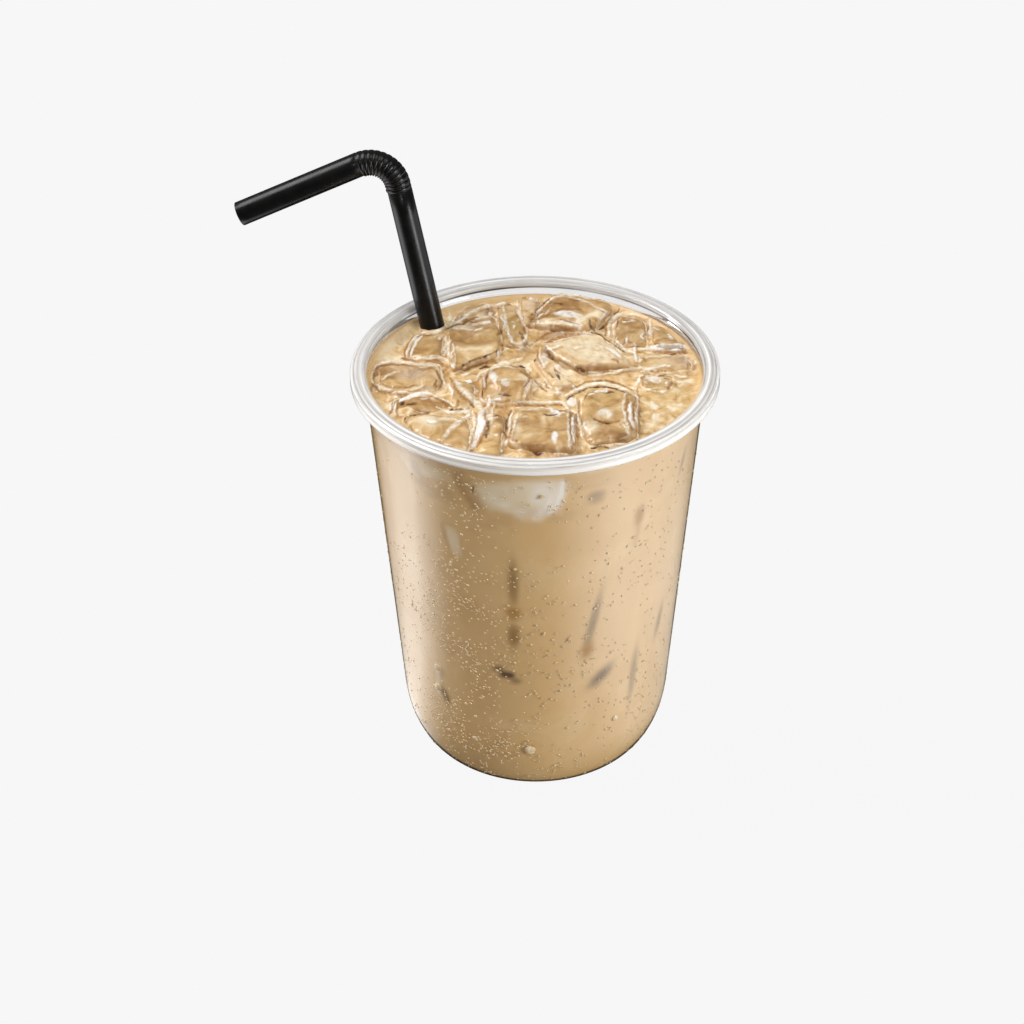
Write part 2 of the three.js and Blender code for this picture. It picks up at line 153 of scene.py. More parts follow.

# Painted highlights and shade in lines along melted edges and in the drink between the cubes: tone,
# half width, and the points it runs through, in plan at the drink's level as the camera sees them.
ICE_LINES = [
    ("cream", 0.45, [(-33.2, 12.6), (-33, 15.6), (-32.1, 19.7), (-30.8, 22.8), (-29, 24.5)]),
    ("brown", 0.3, [(-33.7, 11.6), (-33.6, 15.6), (-32.6, 20), (-31.4, 23.5)]),
    ("white", 0.35, [(-32.2, 12.6), (-31.7, 16.1), (-30.8, 19.7), (-29.5, 22.2)]),
    ("cream", 0.45, [(-30.1, 24.8), (-27.4, 24.3), (-25.3, 24.8), (-23.8, 26.3)]),
    ("cream", 0.5, [(-33.2, 11.6), (-29.8, 11.3), (-25.7, 11.7), (-23.3, 10.9), (-22, 8.4),
        (-20.6, 5.9)]),
    ("brown", 0.5, [(-34.5, 11.6), (-31.1, 9.8), (-27.2, 10), (-24.6, 9.2), (-22.2, 6.4)]),
    ("cream", 0.55, [(-23.2, 22.7), (-22.6, 17.5), (-22.3, 13.4), (-21.2, 9.4), (-20.6, 5.9)]),
    ("cream", 0.3, [(-21.3, 18.5), (-21, 14.4), (-20.4, 9.4)]),
    ("dark", 0.35, [(-19.9, 5.8), (-17.8, 8.3), (-15.5, 10.5), (-12.4, 12.3), (-9.8, 14.8)]),
    ("brown", 0.35, [(-20.6, 3.4), (-18, 5.3), (-15.5, 7.3), (-12.6, 9.7)]),
    ("cream", 0.35, [(-17.4, 29.1), (-14.3, 31.6), (-11.6, 32.6), (-10, 30.8), (-9.2, 27.1)]),
    ("dark", 0.3, [(-23, 26.3), (-21.7, 27.3), (-20.1, 28.1)]),
    ("brown", 0.35, [(-19.8, 28.3), (-17.4, 30.1), (-14.8, 32.2)]),
    ("cream", 0.55, [(-22.2, 28.3), (-19.6, 30.4), (-16.9, 34), (-14.3, 36.4), (-11.6, 38.2),
        (-7.6, 39.7)]),
    ("cream", 0.6, [(-13.6, 2.8), (-11.6, 5.2), (-9, 8.2), (-5.9, 9.6), (-3.3, 11.1)]),
    ("gold", 0.5, [(-8.2, 13.7), (-5.6, 15.2), (-3.2, 17.7)]),
    ("cream", 0.5, [(-8.2, 38.7), (-7.4, 31.8), (-6.9, 25.5), (-5.8, 19.3), (-3.7, 18.2),
        (-2.1, 21.3), (-1.8, 25.4)]),
    ("cream", 0.45, [(-4.4, 40.8), (-3.9, 34.9), (-2.9, 29.6), (-1.8, 26.5)]),
    ("brown", 0.3, [(-3.4, 28.6), (-2.4, 24.9), (-3.2, 21.3)]),
    ("cream", 0.5, [(-40.8, -3.3), (-42.1, 0.7), (-41.8, 4.7), (-40.9, 7.9), (-39.1, 9.6), (-35, 9.8),
        (-31.1, 8.5), (-27.1, 7.7), (-25, 5.9), (-24, 2.4), (-23.4, -1.5)]),
    ("brown", 0.35, [(-41.7, 1.7), (-41.5, 5.2), (-40.4, 7.4), (-38.6, 8.4), (-34.9, 8.3),
        (-31.3, 7.3)]),
    ("brown", 0.4, [(-25.5, 4.9), (-24.5, 1.9), (-24.2, -2), (-25.4, -4.5)]),
    ("cream", 0.35, [(-39.6, 0.7), (-37.9, 2.6), (-36.1, 4.1), (-34.3, 5.1)]),
    ("cream", 0.4, [(-40.9, -1.3), (-38.7, -3.8), (-36.1, -5), (-33.1, -5.1), (-30.5, -3.9),
        (-28.5, -2)]),
    ("brown", 0.3, [(-39.3, -1.3), (-36.7, -3.1), (-33.4, -3.4), (-30.1, -1.9)]),
    ("brown", 0.4, [(-41.9, -1.3), (-39.7, -4.7), (-36.6, -6.5), (-32.5, -6.3)]),
    ("white", 0.6, [(-34.5, -9.7), (-32.7, -8.2), (-30.2, -6.8), (-28.2, -5.6), (-26.7, -6.1)]),
    ("cream", 0.35, [(-26.7, -6.1), (-24.3, -8.4), (-22.3, -10.3), (-20.5, -11.8)]),
    ("brown", 0.35, [(-26.1, -7.9), (-23.5, -10.3), (-21.2, -12.5)]),
    ("dark", 0.5, [(-34.2, -11.4), (-33.5, -10.4)]),
    ("dark", 0.5, [(-21.7, -14.4), (-19.9, -14.5), (-18.4, -13.8)]),
    ("cream", 0.3, [(-35.8, -8.7), (-35.5, -12.1), (-35.8, -16.4)]),
    ("brown", 0.35, [(-36.3, -10.1), (-36.2, -13.5), (-36.9, -15.9)]),
    ("brown", 0.3, [(-35, -11.1), (-34.9, -14.5), (-35.3, -17.3)]),
    ("cream", 0.4, [(-25, -12.7), (-22.2, -15.2), (-19.2, -15), (-16.6, -14.8)]),
    ("cream", 0.7, [(-23.5, -28.8), (-21.6, -23.7), (-19.1, -20), (-16.6, -15.7)]),
    ("cream", 0.4, [(-15.9, -15.2), (-15.3, -19.1), (-15.8, -24.3), (-16.8, -30.3)]),
    ("brown", 0.3, [(-15.1, -15.7), (-14.6, -19.1), (-15.1, -23.8)]),
    ("white", 1.0, [(-13.8, -15.8), (-13.7, -21), (-14.5, -26.6)]),
    ("white", 0.6, [(-14.5, -26.6), (-16, -32.2)]),
    ("brown", 0.3, [(-12.8, -16.7), (-12.5, -21.5), (-13.3, -27.1), (-14.8, -31.7)]),
    ("cream", 0.4, [(-11.6, -9), (-12.2, -14.3), (-11.9, -20.1), (-12.5, -25.7)]),
    ("dark", 0.35, [(-11.5, -19.1), (-12, -23.8), (-12.5, -27.6)]),
    ("cream", 0.35, [(-10.5, -11.5), (-11, -16.7), (-10.8, -21)]),
    ("brown", 0.45, [(-8.3, -24.4), (-7, -27.2), (-4.5, -29.1)]),
    ("cream", 0.9, [(-20.6, -0.1), (-18.5, -4.6), (-16.4, -8.5), (-14.6, -11.9), (-13.3, -14.8)]),
    ("brown", 0.4, [(-21.9, 1.4), (-20.5, -3.5), (-17.9, -8.5), (-15.6, -12.8)]),
    ("brown", 0.4, [(-3.8, 4.1), (-1.8, 2.1), (0.3, -0.9), (2.8, -5.4)]),
    ("cream", 0.4, [(-0.8, 0.1), (-1.8, -4.3), (-2.6, -8.7)]),
    ("brown", 0.3, [(-1.5, 1.1), (-2.6, -2.8), (-3.4, -7.2)]),
    ("cream", 0.4, [(-15.4, -0.2), (-14.2, 3.3), (-11.6, 5.5), (-8.2, 6.9), (-5.1, 6.1)]),
    ("dark", 0.35, [(-9.3, -6.9), (-7.7, -7.4), (-6.2, -7.9)]),
    ("white", 0.4, [(-13.9, -9), (-11.6, -10.3), (-9, -9.1)]),
    ("brown", 0.55, [(-6, -12.3), (-2.7, -11.8), (1.2, -11.9), (5, -11.5), (6.7, -12.2)]),
    ("cream", 0.45, [(-6.2, -10.3), (-2.6, -10.6), (1.9, -10.9), (6.3, -10.8), (7.8, -12.7),
        (8.7, -15.6)]),
    ("cream", 0.4, [(-4.2, -14.7), (-0.1, -14.3), (2.7, -14.1), (4.4, -15.5)]),
    ("cream", 0.4, [(-5.5, -14.9), (-6.4, -19.7), (-7, -26.3)]),
    ("cream", 0.35, [(-4.5, -16.4), (-5.4, -21.1), (-5.8, -25.8)]),
    ("dark", 0.3, [(-6.2, -14.4), (-7.3, -19.7), (-7.8, -24.8)]),
    ("cream", 0.45, [(8.2, -16.5), (8.1, -21.8), (8.2, -26.9), (7.9, -31.6)]),
    ("white", 0.4, [(9.4, -17.5), (9.3, -24.1), (9.4, -29.8)]),
    ("cream", 0.4, [(11, -16.6), (11.1, -23.2), (11.7, -27.9)]),
    ("brown", 0.3, [(8.8, -15.6), (8.7, -22.3), (8.8, -28.8)]),
    ("brown", 0.35, [(10.3, -16.6), (10.3, -23.2), (10.5, -28.8)]),
    ("cream", 0.5, [(7.8, -8.1), (10.2, -5.5), (12.8, -3.1), (15.9, -1.9), (19.2, -2.2), (21.8, -3.9),
        (24.2, -6.2), (26.2, -9.1)]),
    ("dark", 0.28, [(8.1, -9.3), (10.2, -6.9), (12.8, -4.5), (15.4, -3.6), (17.9, -3.4), (20.5, -4.4),
        (22.7, -6.4)]),
    ("brown", 0.28, [(10, -4), (12.8, -1.3), (16, -0.4), (19.3, -0.7), (22.3, -2.7), (25.3, -5.7)]),
    ("cream", 0.4, [(22.9, -7.1), (22.1, -12.4), (22.3, -17.2), (22.9, -22), (23.7, -27.6)]),
    ("brown", 0.3, [(23.6, -9.6), (22.9, -14.4), (23.3, -19.6), (24.1, -24.8)]),
    ("white", 0.45, [(24.1, -11.5), (23.7, -15.8), (24, -20.1), (24.9, -23.9)]),
    ("brown", 0.28, [(25.1, -11), (24.5, -15.8), (24.9, -20.1)]),
    ("white", 0.35, [(25.8, -12.5), (25.4, -16.8), (25.6, -21.6)]),
    ("brown", 0.4, [(13.7, -18.1), (16.2, -20), (18.7, -21), (21.2, -19.8)]),
    ("dark", 0.3, [(14.7, -19.3), (16.7, -20.7), (18.9, -21.5)]),
    ("cream", 0.35, [(21.2, -20.5), (22.6, -24.3), (23.5, -28.1)]),
    ("brown", 0.3, [(11.4, -9.9), (11, -15.6), (11.6, -21.4)]),
    ("dark", 0.5, [(2.8, 15.6), (3.5, 12.5), (5.1, 10.2)]),
    ("brown", 0.35, [(5.1, 10.2), (7.1, 8.2), (9.1, 6.4), (10.6, 4.1), (12.4, 2.4)]),
    ("cream", 0.4, [(3.1, 16.6), (5.6, 12), (8.2, 9.2), (10.4, 6.9), (11.7, 4.4)]),
    ("dark", 0.3, [(14.2, 24.2), (16.6, 23.1), (19.1, 20), (21.6, 16.3), (23.6, 13.8)]),
    ("cream", 0.35, [(15.3, 25.4), (18.2, 23.6), (21, 19.9), (23.4, 15.8), (25.5, 13.7)]),
    ("brown", 0.5, [(2.8, 18.7), (6.3, 21.2), (9.5, 22.7), (12.9, 23.1)]),
    ("brown", 0.35, [(-1.1, 17.2), (2.3, 22.3), (5.8, 24.8), (10, 25)]),
    ("brown", 0.3, [(0.7, 15.1), (1, 9.5), (2.4, 5), (4.7, 1)]),
    ("cream", 0.35, [(1.5, 16.1), (1.4, 10), (2.9, 6)]),
    ("dark", 0.5, [(10.7, 6.1), (12.2, 4.9), (13.5, 3.4)]),
    ("cream", 0.4, [(13.7, 1.9), (18.1, 2.8), (22.5, 4.5), (27.2, 5.6), (31.1, 4.6)]),
    ("dark", 0.28, [(-0.7, 32.7), (1.7, 37.2), (3.9, 41.4), (6.1, 43.8), (8.8, 44.1), (12.5, 43.2),
        (17.8, 41), (21.8, 38.5), (22.8, 35.8), (21.4, 32.9)]),
    ("cream", 0.4, [(1.2, 34.3), (3.3, 38.5), (5.3, 41.4), (8.5, 42.4), (12.5, 40.5), (16.4, 37),
        (20.3, 34)]),
    ("cream", 0.35, [(5.3, 43.3), (8.8, 43.2), (13, 42.1), (18.1, 39.9), (22, 37.7)]),
    ("cream", 0.4, [(-1.5, 28.8), (2.9, 28.5), (6.9, 28.4), (10.9, 26.5), (13.4, 24.2)]),
    ("brown", 0.35, [(-0.7, 30.6), (1.7, 31.1), (4.1, 33.2), (6, 35), (9.2, 36), (12.4, 35.2)]),
    ("dark", 0.35, [(14.6, 30.4), (15.1, 26.7), (16.1, 24.6)]),
    ("brown", 0.3, [(6.2, 30.5), (9.1, 29.4), (12.2, 27.3)]),
    ("brown", 0.4, [(-1.8, 27), (1.6, 26.4), (5.8, 27.1), (10, 25)]),
    ("cream", 0.55, [(19.9, 21), (19.7, 25.1), (20.3, 29.3), (21.9, 32.1), (24.3, 33.7), (27.2, 33.1),
        (29.8, 31.2)]),
    ("cream", 0.35, [(21, 23), (20.9, 26.7), (21.8, 29.8)]),
    ("cream", 0.45, [(30.7, 31.7), (30.7, 27.5), (30.9, 23.4)]),
    ("brown", 0.3, [(18.9, 22), (18.9, 26.2), (19.7, 30.3)]),
    ("brown", 0.35, [(23.2, 17.3), (24.4, 20.4), (25.1, 18.3)]),
    ("white", 0.4, [(26.1, 17.8), (26.2, 13.7), (26.2, 9.2)]),
    ("cream", 0.35, [(24.4, 21.9), (24, 17.8)]),
    ("cream", 0.45, [(30.9, 31.2), (33.4, 29.1), (35.9, 26.4), (38.5, 23.8), (41.2, 20.7)]),
    ("white", 0.85, [(30.8, 16.2), (34.2, 15.9), (37.6, 15.8), (40.4, 16)]),
    ("brown", 0.45, [(30.7, 13.7), (34.8, 13.3), (38, 13.5), (40.8, 12.7)]),
    ("brown", 0.3, [(41.4, 18.6), (42.2, 14.5), (43, 9.9)]),
    ("cream", 0.35, [(27.2, 3.6), (31.1, 6.1), (35, 6.5)]),
]

# Soft patches in ice and drink, painted highlights in white and cream and painted shade in brown and
# dark among them: tone, place in plan as above, half length and half width as the camera sees them,
# turn in degrees, and strength.
ICE_PATCHES = [
    ("brown", -11.6, 34.5, 2.0, 0.8, 25, 0.8),
    ("brown", -17.9, 22.1, 3.3, 1.3, 35, 0.75),
    ("gold", -32.7, 23.3, 2.5, 1.5, 40, 0.5),
    ("veil", -18.7, 26.7, 3.1, 0.8, 20, 0.5),
    ("white", -12.7, 29.5, 1.3, 0.5, 15, 0.9),
    ("white", -15.6, 28, 1.0, 0.4, 15, 0.6),
    ("brown", -14.2, 8.8, 4.1, 0.8, 25, 0.6),
    ("tan", -27.3, 18.1, 3.1, 2.3, 0, 0.5),
    ("gold", -9.8, 21.9, 1.3, 2.3, 0, 0.5),
    ("pale", -15.5, 15.4, 3.6, 1.3, 20, 0.35),
    ("gold", -5.3, 28.1, 1.5, 2.8, -8, 0.7),
    ("veil", -1.2, 38, 2.0, 1.5, 0, 0.8),
    ("veil", -2.6, 31.2, 0.8, 1.3, 0, 0.7),
    ("brown", -2.7, 13.6, 3.6, 0.8, 10, 0.4),
    ("brown", -38.7, 5.1, 2.8, 1.0, 0, 0.7),
    ("veil", -31.5, 3.5, 4.3, 1.8, 0, 0.6),
    ("brown", -28.2, -3.4, 2.5, 0.8, 0, 0.4),
    ("brown", -28.1, -10.7, 6.1, 1.3, -5, 0.7),
    ("cream", -26.7, -19.9, 2.3, 1.7, 0, 0.85),
    ("pale", -22.2, -18, 3.6, 1.5, 25, 0.55),
    ("pale", -29.6, -26.4, 3.1, 1.5, -25, 0.3),
    ("tan", -19.5, -27.5, 2.0, 2.3, 30, 0.4),
    ("cream", -13.6, -15.8, 1.0, 1.3, 0, 0.6),
    ("brown", -8.3, -17.3, 2.0, 2.5, 0, 0.6),
    ("gold", -11, -32.7, 4.6, 1.5, -5, 0.5),
    ("brown", -7.8, -34.1, 1.3, 0.5, 0, 0.4),
    ("white", -10.3, -22, 0.5, 0.5, 0, 0.8),
    ("white", -10, -26.2, 0.6, 0.5, 0, 0.8),
    ("cream", -4.8, -23.5, 1.3, 2.0, 0, 0.6),
    ("brown", 0, -21.2, 6.6, 1.0, -3, 0.45),
    ("brown", 1.7, -32.9, 6.6, 1.5, -8, 0.9),
    ("white", 4.9, -16, 1.5, 0.9, -35, 0.95),
    ("cream", 3.9, -17.9, 0.8, 1.0, 0, 0.6),
    ("white", 4.7, -27.6, 0.9, 1.8, 0, 0.98),
    ("cream", 5.4, -32.9, 0.6, 0.8, 0, 0.8),
    ("cream", 17.6, -16.7, 1.8, 1.3, 0, 0.5),
    ("white", 17.1, -16, 1.5, 0.8, 15, 0.8),
    ("white", 18.3, -17.6, 0.6, 1.0, 0, 0.8),
    ("cream", 13.4, -22.8, 2.0, 1.9, 0, 0.75),
    ("brown", 18.8, -26.2, 4.1, 1.7, 0, 0.75),
    ("dark", 21.2, -27.6, 1.3, 1.4, -40, 0.55),
    ("white", 9.3, -10.8, 1.3, 1.3, 15, 0.85),
    ("gold", 16.5, -8.5, 5.1, 2.0, 0, 0.4),
    ("white", 30.9, -0.6, 1.9, 1.0, -12, 0.95),
    ("gold", 33.4, -8.2, 5.6, 2.3, 0, 0.55),
    ("gold", 30, 9.6, 4.1, 1.5, 0, 0.2),
    ("pale", 30.8, -21.2, 4.6, 1.3, 15, 0.4),
    ("white", -10.7, 1.2, 0.9, 1.7, 25, 0.85),
    ("white", -7.7, -1.5, 1.2, 1.0, 0, 0.85),
    ("veil", -9.8, -7.1, 1.5, 0.8, 0, 0.6),
    ("brown", -13.6, -5.6, 2.0, 3.1, 0, 0.5),
    ("gold", -20.6, -1.6, 2.3, 2.3, 0, 0.3),
    ("white", -1.8, -2.4, 1.0, 1.5, -30, 0.6),
    ("white", 2.2, 10, 1.1, 1.8, 12, 0.85),
    ("cream", 7, 3.9, 2.5, 1.9, -30, 0.9),
    ("white", 5.5, 6, 1.0, 1.0, 0, 0.5),
    ("brown", 8.4, -4.5, 2.0, 1.0, 0, 0.8),
    ("cream", 14.5, 14.9, 8.7, 3.3, -12, 0.85),
    ("pale", 11.1, 13.9, 2.0, 2.0, 0, 0.4),
    ("brown", 16.1, 5.3, 6.1, 1.1, -3, 0.85),
    ("dark", 12.7, 4.4, 1.8, 0.6, -15, 0.6),
    ("brown", 6.3, 23.2, 6.6, 1.1, 14, 0.65),
    ("gold", -1.6, 20.3, 2.0, 2.5, 0, 0.4),
    ("brown", 8.7, 38.4, 6.4, 1.1, -5, 0.75),
    ("brown", 3, 35.3, 2.3, 1.0, 40, 0.7),
    ("tan", 17.8, 37.8, 4.1, 1.0, -10, 0.35),
    ("white", 8.9, 32.9, 4.3, 1.0, -8, 0.9),
    ("white", 10.1, 28.4, 3.6, 0.7, -14, 0.85),
    ("pale", 3, 30.1, 3.1, 0.7, 0, 0.6),
    ("brown", 18.8, 28.2, 2.3, 2.0, -20, 0.5),
    ("brown", 25.5, 29.2, 4.3, 1.9, -4, 0.65),
    ("tan", 25.3, 23, 3.3, 1.3, 0, 0.4),
    ("brown", 23.8, 17.8, 1.3, 1.0, 0, 0.4),
    ("tan", 35, 23.8, 4.1, 1.8, -18, 0.55),
    ("veil", 38.3, 9.5, 5.1, 2.0, 0, 0.45),
    ("pale", 31.3, 10.6, 5.1, 1.3, 0, 0.35),
    ("pale", 20.1, 7.8, 3.6, 0.8, 0, 0.3),
    ("pale", -38.2, 17.5, 3.5, 2.5, 40, 0.9),
    ("cream", -37.8, 20.5, 5, 2, 35, 0.6),
    ("cream", -33.5, 27.5, 4.0, 1.1, 25, 0.4),
    ("pale", -23, 36.5, 6.0, 1.2, 18, 0.4),
]

# Soft dark streaks painted in the drink behind the wall: azimuth in degrees, height, half width and
# half height, lean in degrees, depth of colour, and how red.
DARK_STREAKS = [
    (-98.6, 74, 1.5, 8.0, 0, 0.8, 0.45),
    (-98.8, 64.4, 2.1, 2.3, 0, 0.95, 1),
    (-99.0, 56.6, 1.6, 4.2, 0, 0.9, 0.5),
    (-102.0, 43.1, 3.7, 1.15, 30, 1.5, 0),
    (-68.4, 59, 1.3, 10.4, 11, 0.75, 0.1),
    (-70.2, 50.4, 1.9, 3.0, 8, 1.1, 1),
    (-63.4, 40.1, 1.9, 4.6, 48, 0.95, 0),
    (-46.9, 36.3, 1.3, 9.0, 2, 0.6, 0),
    (-32.8, 48.8, 1.3, 5.2, 10, 0.8, 0.5),
    (-51.4, 89.6, 1.7, 3.4, 4, 0.95, 1),
    (-51.9, 83.2, 0.9, 3.0, 12, 0.35, 0.7),
    (-69.5, 100.4, 2.6, 1.9, 0, 0.65, 0),
    (-28.8, 98.2, 1.0, 3.6, 16, 0.6, 0.1),
    (-111.6, 102.4, 0.5, 0.5, 0, 1.6, 0.2),
    (-131.5, 29.7, 1.2, 2.8, -24, 1.0, 0.3),
]

# Shades and lights in the drink behind the wall, where ice lies against it: tone, azimuth, height,
# half width, half height, lean in degrees and strength.
WALL_PATCHES = [
    ("cream", -96.5, 102.6, 10.5, 4.6, -7, 0.78),
    ("white", -86.4, 102.2, 4.2, 4.4, 14, 0.5),
    ("white", -92, 105.6, 9, 1.2, 0, 0.2),
    ("tan", -113.5, 101.5, 2.2, 6.5, -32, 0.6),
    ("tan", -103, 93.6, 9, 1.4, -24, 0.25),
    ("tan", -84.5, 96.4, 5.5, 1.0, 14, 0.25),
    ("cream", -131, 104.2, 8, 2.4, 0, 0.4),
    ("brown", -134.5, 102.2, 1.8, 3.8, -25, 0.35),
    ("tan", -125.5, 98.4, 7, 2.2, 10, 0.35),
    ("cream", -120.5, 83.6, 1.8, 4.4, -12, 0.6),
    ("brown", -124.2, 85.6, 0.7, 3.4, -10, 0.3),
    ("cream", -134.4, 37.5, 1.3, 2.3, 0, 0.6),
    ("cream", -134.6, 31.8, 1.5, 2.8, 0, 0.6),
    ("brown", -132.9, 35.2, 0.8, 1.3, 0, 0.35),
    ("tan", -72, 105.4, 9, 1.4, 0, 0.25),
]

# Soft lines of painted light and shade there: tone, half width, strength, and points as azimuth and height.
WALL_LINES = [
    ("white", 0.8, 0.75, [(-80.6, 106), (-81.2, 101.5), (-84.4, 97.2), (-89.4, 95.9)]),
    ("white", 0.7, 0.55, [(-104.6, 101.2), (-98, 98.4), (-91.5, 96.8), (-86.4, 97.9), (-84.2, 101.8)]),
    ("cream", 0.9, 0.5, [(-107.6, 103.2), (-101.5, 99), (-94.2, 95.6), (-88, 94.9)]),
    ("brown", 1.0, 0.4, [(-117, 106), (-114.4, 101.4), (-110, 97.4)]),
    ("cream", 0.8, 0.35, [(-140, 104), (-133.6, 101.2), (-127, 103.4), (-121, 105.6)]),
]

# Lines round the rim: painted shade along a crease or a painted highlight, radius and height, half width
# and strength.
RIM_RINGS = [
    ("gleam", 43.32, 113.6, 0.22, 0.5),
    ("fold", 43.2, 112.95, 0.32, 1.4),
    ("gleam", 43.15, 112.35, 0.2, 0.5),
    ("fold", 43.1, 112.05, 0.13, 0.4),
    ("fold", 43.0, 111.3, 0.18, 0.4),
    ("fold", 43.75, 114.35, 0.2, 0.5),
    ("gleam", 44.8, 114.6, 0.3, 0.9),
    ("fold", 45.6, 114.5, 0.3, 0.3),
    ("gleam", 46.15, 114.3, 0.15, 0.6),
    ("fold", 46.5, 114.1, 0.16, 0.55),
    ("gleam", 47.2, 114.0, 0.22, 0.9),
    ("fold", 47.5, 113.4, 0.15, 0.5),
    ("gleam", 47.5, 112.5, 0.8, 0.95),
    ("fold", 47.5, 111.5, 0.2, 0.85),
]
# Faint arcs round the rim, of painted shade and painted highlights: how many, and their seed.
FAINT_RINGS = 36
FAINT_SEED = 72

# Larger drops outside the wall: azimuth in degrees, height and radius.
LARGE_DROPS = [
    (-93.1, 17.4, 1.5),
    (-55.1, 23.2, 0.9),
    (-117.4, 18.5, 0.8),
    (-134.2, 38.4, 1.0),
    (-135.0, 31.4, 1.2),
]
# The most fine drops there are, the largest of them, and the azimuth they crowd round, to the front
# left.
FINE_DROPS = 5200
FINE_DROP_RADIUS = 0.55
CROWDED = -118
DROP_SEED = 7

# The brightness of the cards that the cup's gloss shows, by direction from its middle: a share of
# the full turn from the left by way of the front, the right and the back.
CARD_RING = [
    (0, 4),
    (0.046, 2.2),
    (0.08, 0.5),
    (0.12, 0.15),
    (0.25, 0.2),
    (0.278, 0.5),
    (0.315, 1.7),
    (0.349, 2.7),
    (0.38, 3.6),
    (0.41, 3.7),
    (0.444, 3.1),
    (0.473, 2.5),
    (0.524, 1.7),
    (0.57, 1.1),
    (0.62, 0.4),
    (0.68, 0.1),
    (0.86, 0.1),
    (0.917, 1.2),
    (0.958, 2.7),
    (1, 4),
]
BRIGHTEST_CARD = 4

# How the cards fade towards the cup: distance from its middle in metres, and share left. A ramp runs
# from 0 to 1, so the distance is scaled for it.
LEFT_FADE = [(0.029, 0), (0.033, 0.35), (0.048, 0.55), (0.064, 0.7), (0.082, 0.8), (0.11, 1)]
RIGHT_FADE = [(0.034, 0), (0.048, 0.36), (0.064, 0.55), (0.082, 0.85), (0.1, 1)]
FADE_SCALE = 5


# Uneven fields


def slow_waves(points, length, seed, octaves=2):
    """A smooth uneven field from about -1 to 1 over points in millimetres."""
    random = np.random.default_rng(seed)
    total = np.zeros(len(points))
    weight = 1.0
    for octave in range(octaves):
        field = np.zeros(len(points))
        bend = np.sin(points @ random.normal(size=(3, 3)) * 2.2 / length)
        for _ in range(5):
            way = random.normal(size=3) * 2.6 / length
            field += np.sin(points @ way + bend @ random.normal(size=3) + random.uniform(0, 6.3))
        total += weight * field / 3
        weight *= 0.5
        length *= 0.45
    return np.clip(total, -1.6, 1.6)


# Meshes


def add_piece(name, points, faces, smooth=True):
    """A mesh object from points in millimetres."""
    mesh = bpy.data.meshes.new(name)
    mesh.from_pydata((np.asarray(points, float) * MM).tolist(), [], faces)
    mesh.polygons.foreach_set("use_smooth", [smooth] * len(mesh.polygons))
    mesh.update()
    piece = bpy.data.objects.new(name, mesh)
    bpy.context.scene.collection.objects.link(piece)
    return piece


def read_points(piece):
    """A piece's points in millimetres."""
    flat = np.empty(len(piece.data.vertices) * 3, np.float32)
    piece.data.vertices.foreach_get("co", flat)
    return flat.reshape(-1, 3).astype(float) / MM


def write_points(piece, points):
    """Moves a piece's points, given in millimetres."""
    piece.data.vertices.foreach_set("co", (points * MM).astype(np.float32).ravel())
    piece.data.update()


def paint(piece, name, values):
    """A number for each of a piece's points, which a material reads by name."""
    layer = piece.data.attributes.new(name, "FLOAT", "POINT")
    layer.data.foreach_set("value", np.asarray(values, np.float32))


def paint_colour(piece, name, colours):
    """A colour for each of a piece's points."""
    layer = piece.data.attributes.new(name, "FLOAT_COLOR", "POINT")
    with_alpha = np.concatenate([colours, np.ones((len(colours), 1))], 1)
    layer.data.foreach_set("color", with_alpha.astype(np.float32).ravel())


def ring_faces(first, second, count):
    """Faces between two closed rings of points, given the number of each ring's first point."""
    faces = []
    for j in range(count):
        k = (j + 1) % count
        faces.append((first + j, first + k, second + k, second + j))
    return faces


def revolve(profile, segments):
    """Points and faces of a profile of radius and height that starts and ends on the axis."""
    turns = np.arange(segments) * 2 * math.pi / segments
    points = [np.array([[0, 0, profile[0][1]]])]
    for radius, height in profile[1:-1]:
        ring = np.stack([radius * np.cos(turns), radius * np.sin(turns), 0 * turns + height], 1)
        points.append(ring)
    points.append(np.array([[0, 0, profile[-1][1]]]))
    rings = len(profile) - 2
    last = 1 + rings * segments
    faces = []
    for j in range(segments):
        k = (j + 1) % segments
        faces.append((0, 1 + k, 1 + j))
    for i in range(rings - 1):
        faces += ring_faces(1 + i * segments, 1 + (i + 1) * segments, segments)
    top = last - segments
    for j in range(segments):
        k = (j + 1) % segments
        faces.append((top + j, top + k, last))
    return np.concatenate(points), faces


def resample(profile, step):
    """The same line of points with the long stretches divided to about a step."""
    out = [profile[0]]
    for start, end in zip(profile, profile[1:]):
        parts = max(1, round(math.dist(start, end) / step))
        for i in range(1, parts + 1):
            share = i / parts
            out.append(tuple(a + (b - a) * share for a, b in zip(start, end)))
    return out


# Cup


def wall_radius(z):
    """The radius outside the plain part of the wall."""
    return WALL_TOP_RADIUS + (z - HEIGHT + SKIRT_HEIGHT) * math.tan(TAPER)


def bowl_profile(offset, top, steps):
    """The cup's outside moved in by an offset, from the axis up to a height."""
    corner_end = math.atan(CORNER_WIDTH / (CORNER_HEIGHT * math.tan(TAPER)))
    corner_top = CORNER_HEIGHT * (1 - math.cos(corner_end))
    foot_radius = wall_radius(corner_top) - CORNER_WIDTH * math.sin(corner_end)
    points = [(0, offset)]
    for i in range(steps + 1):
        t = corner_end * i / steps
        normal = Vector((math.sin(t) / CORNER_WIDTH, -math.cos(t) / CORNER_HEIGHT)).normalized()
        radius = foot_radius + CORNER_WIDTH * math.sin(t) - offset * normal.x
        points.append((radius, CORNER_HEIGHT * (1 - math.cos(t)) - offset * normal.y))
    points.append((wall_radius(top) - offset / math.cos(TAPER), top))
    return points


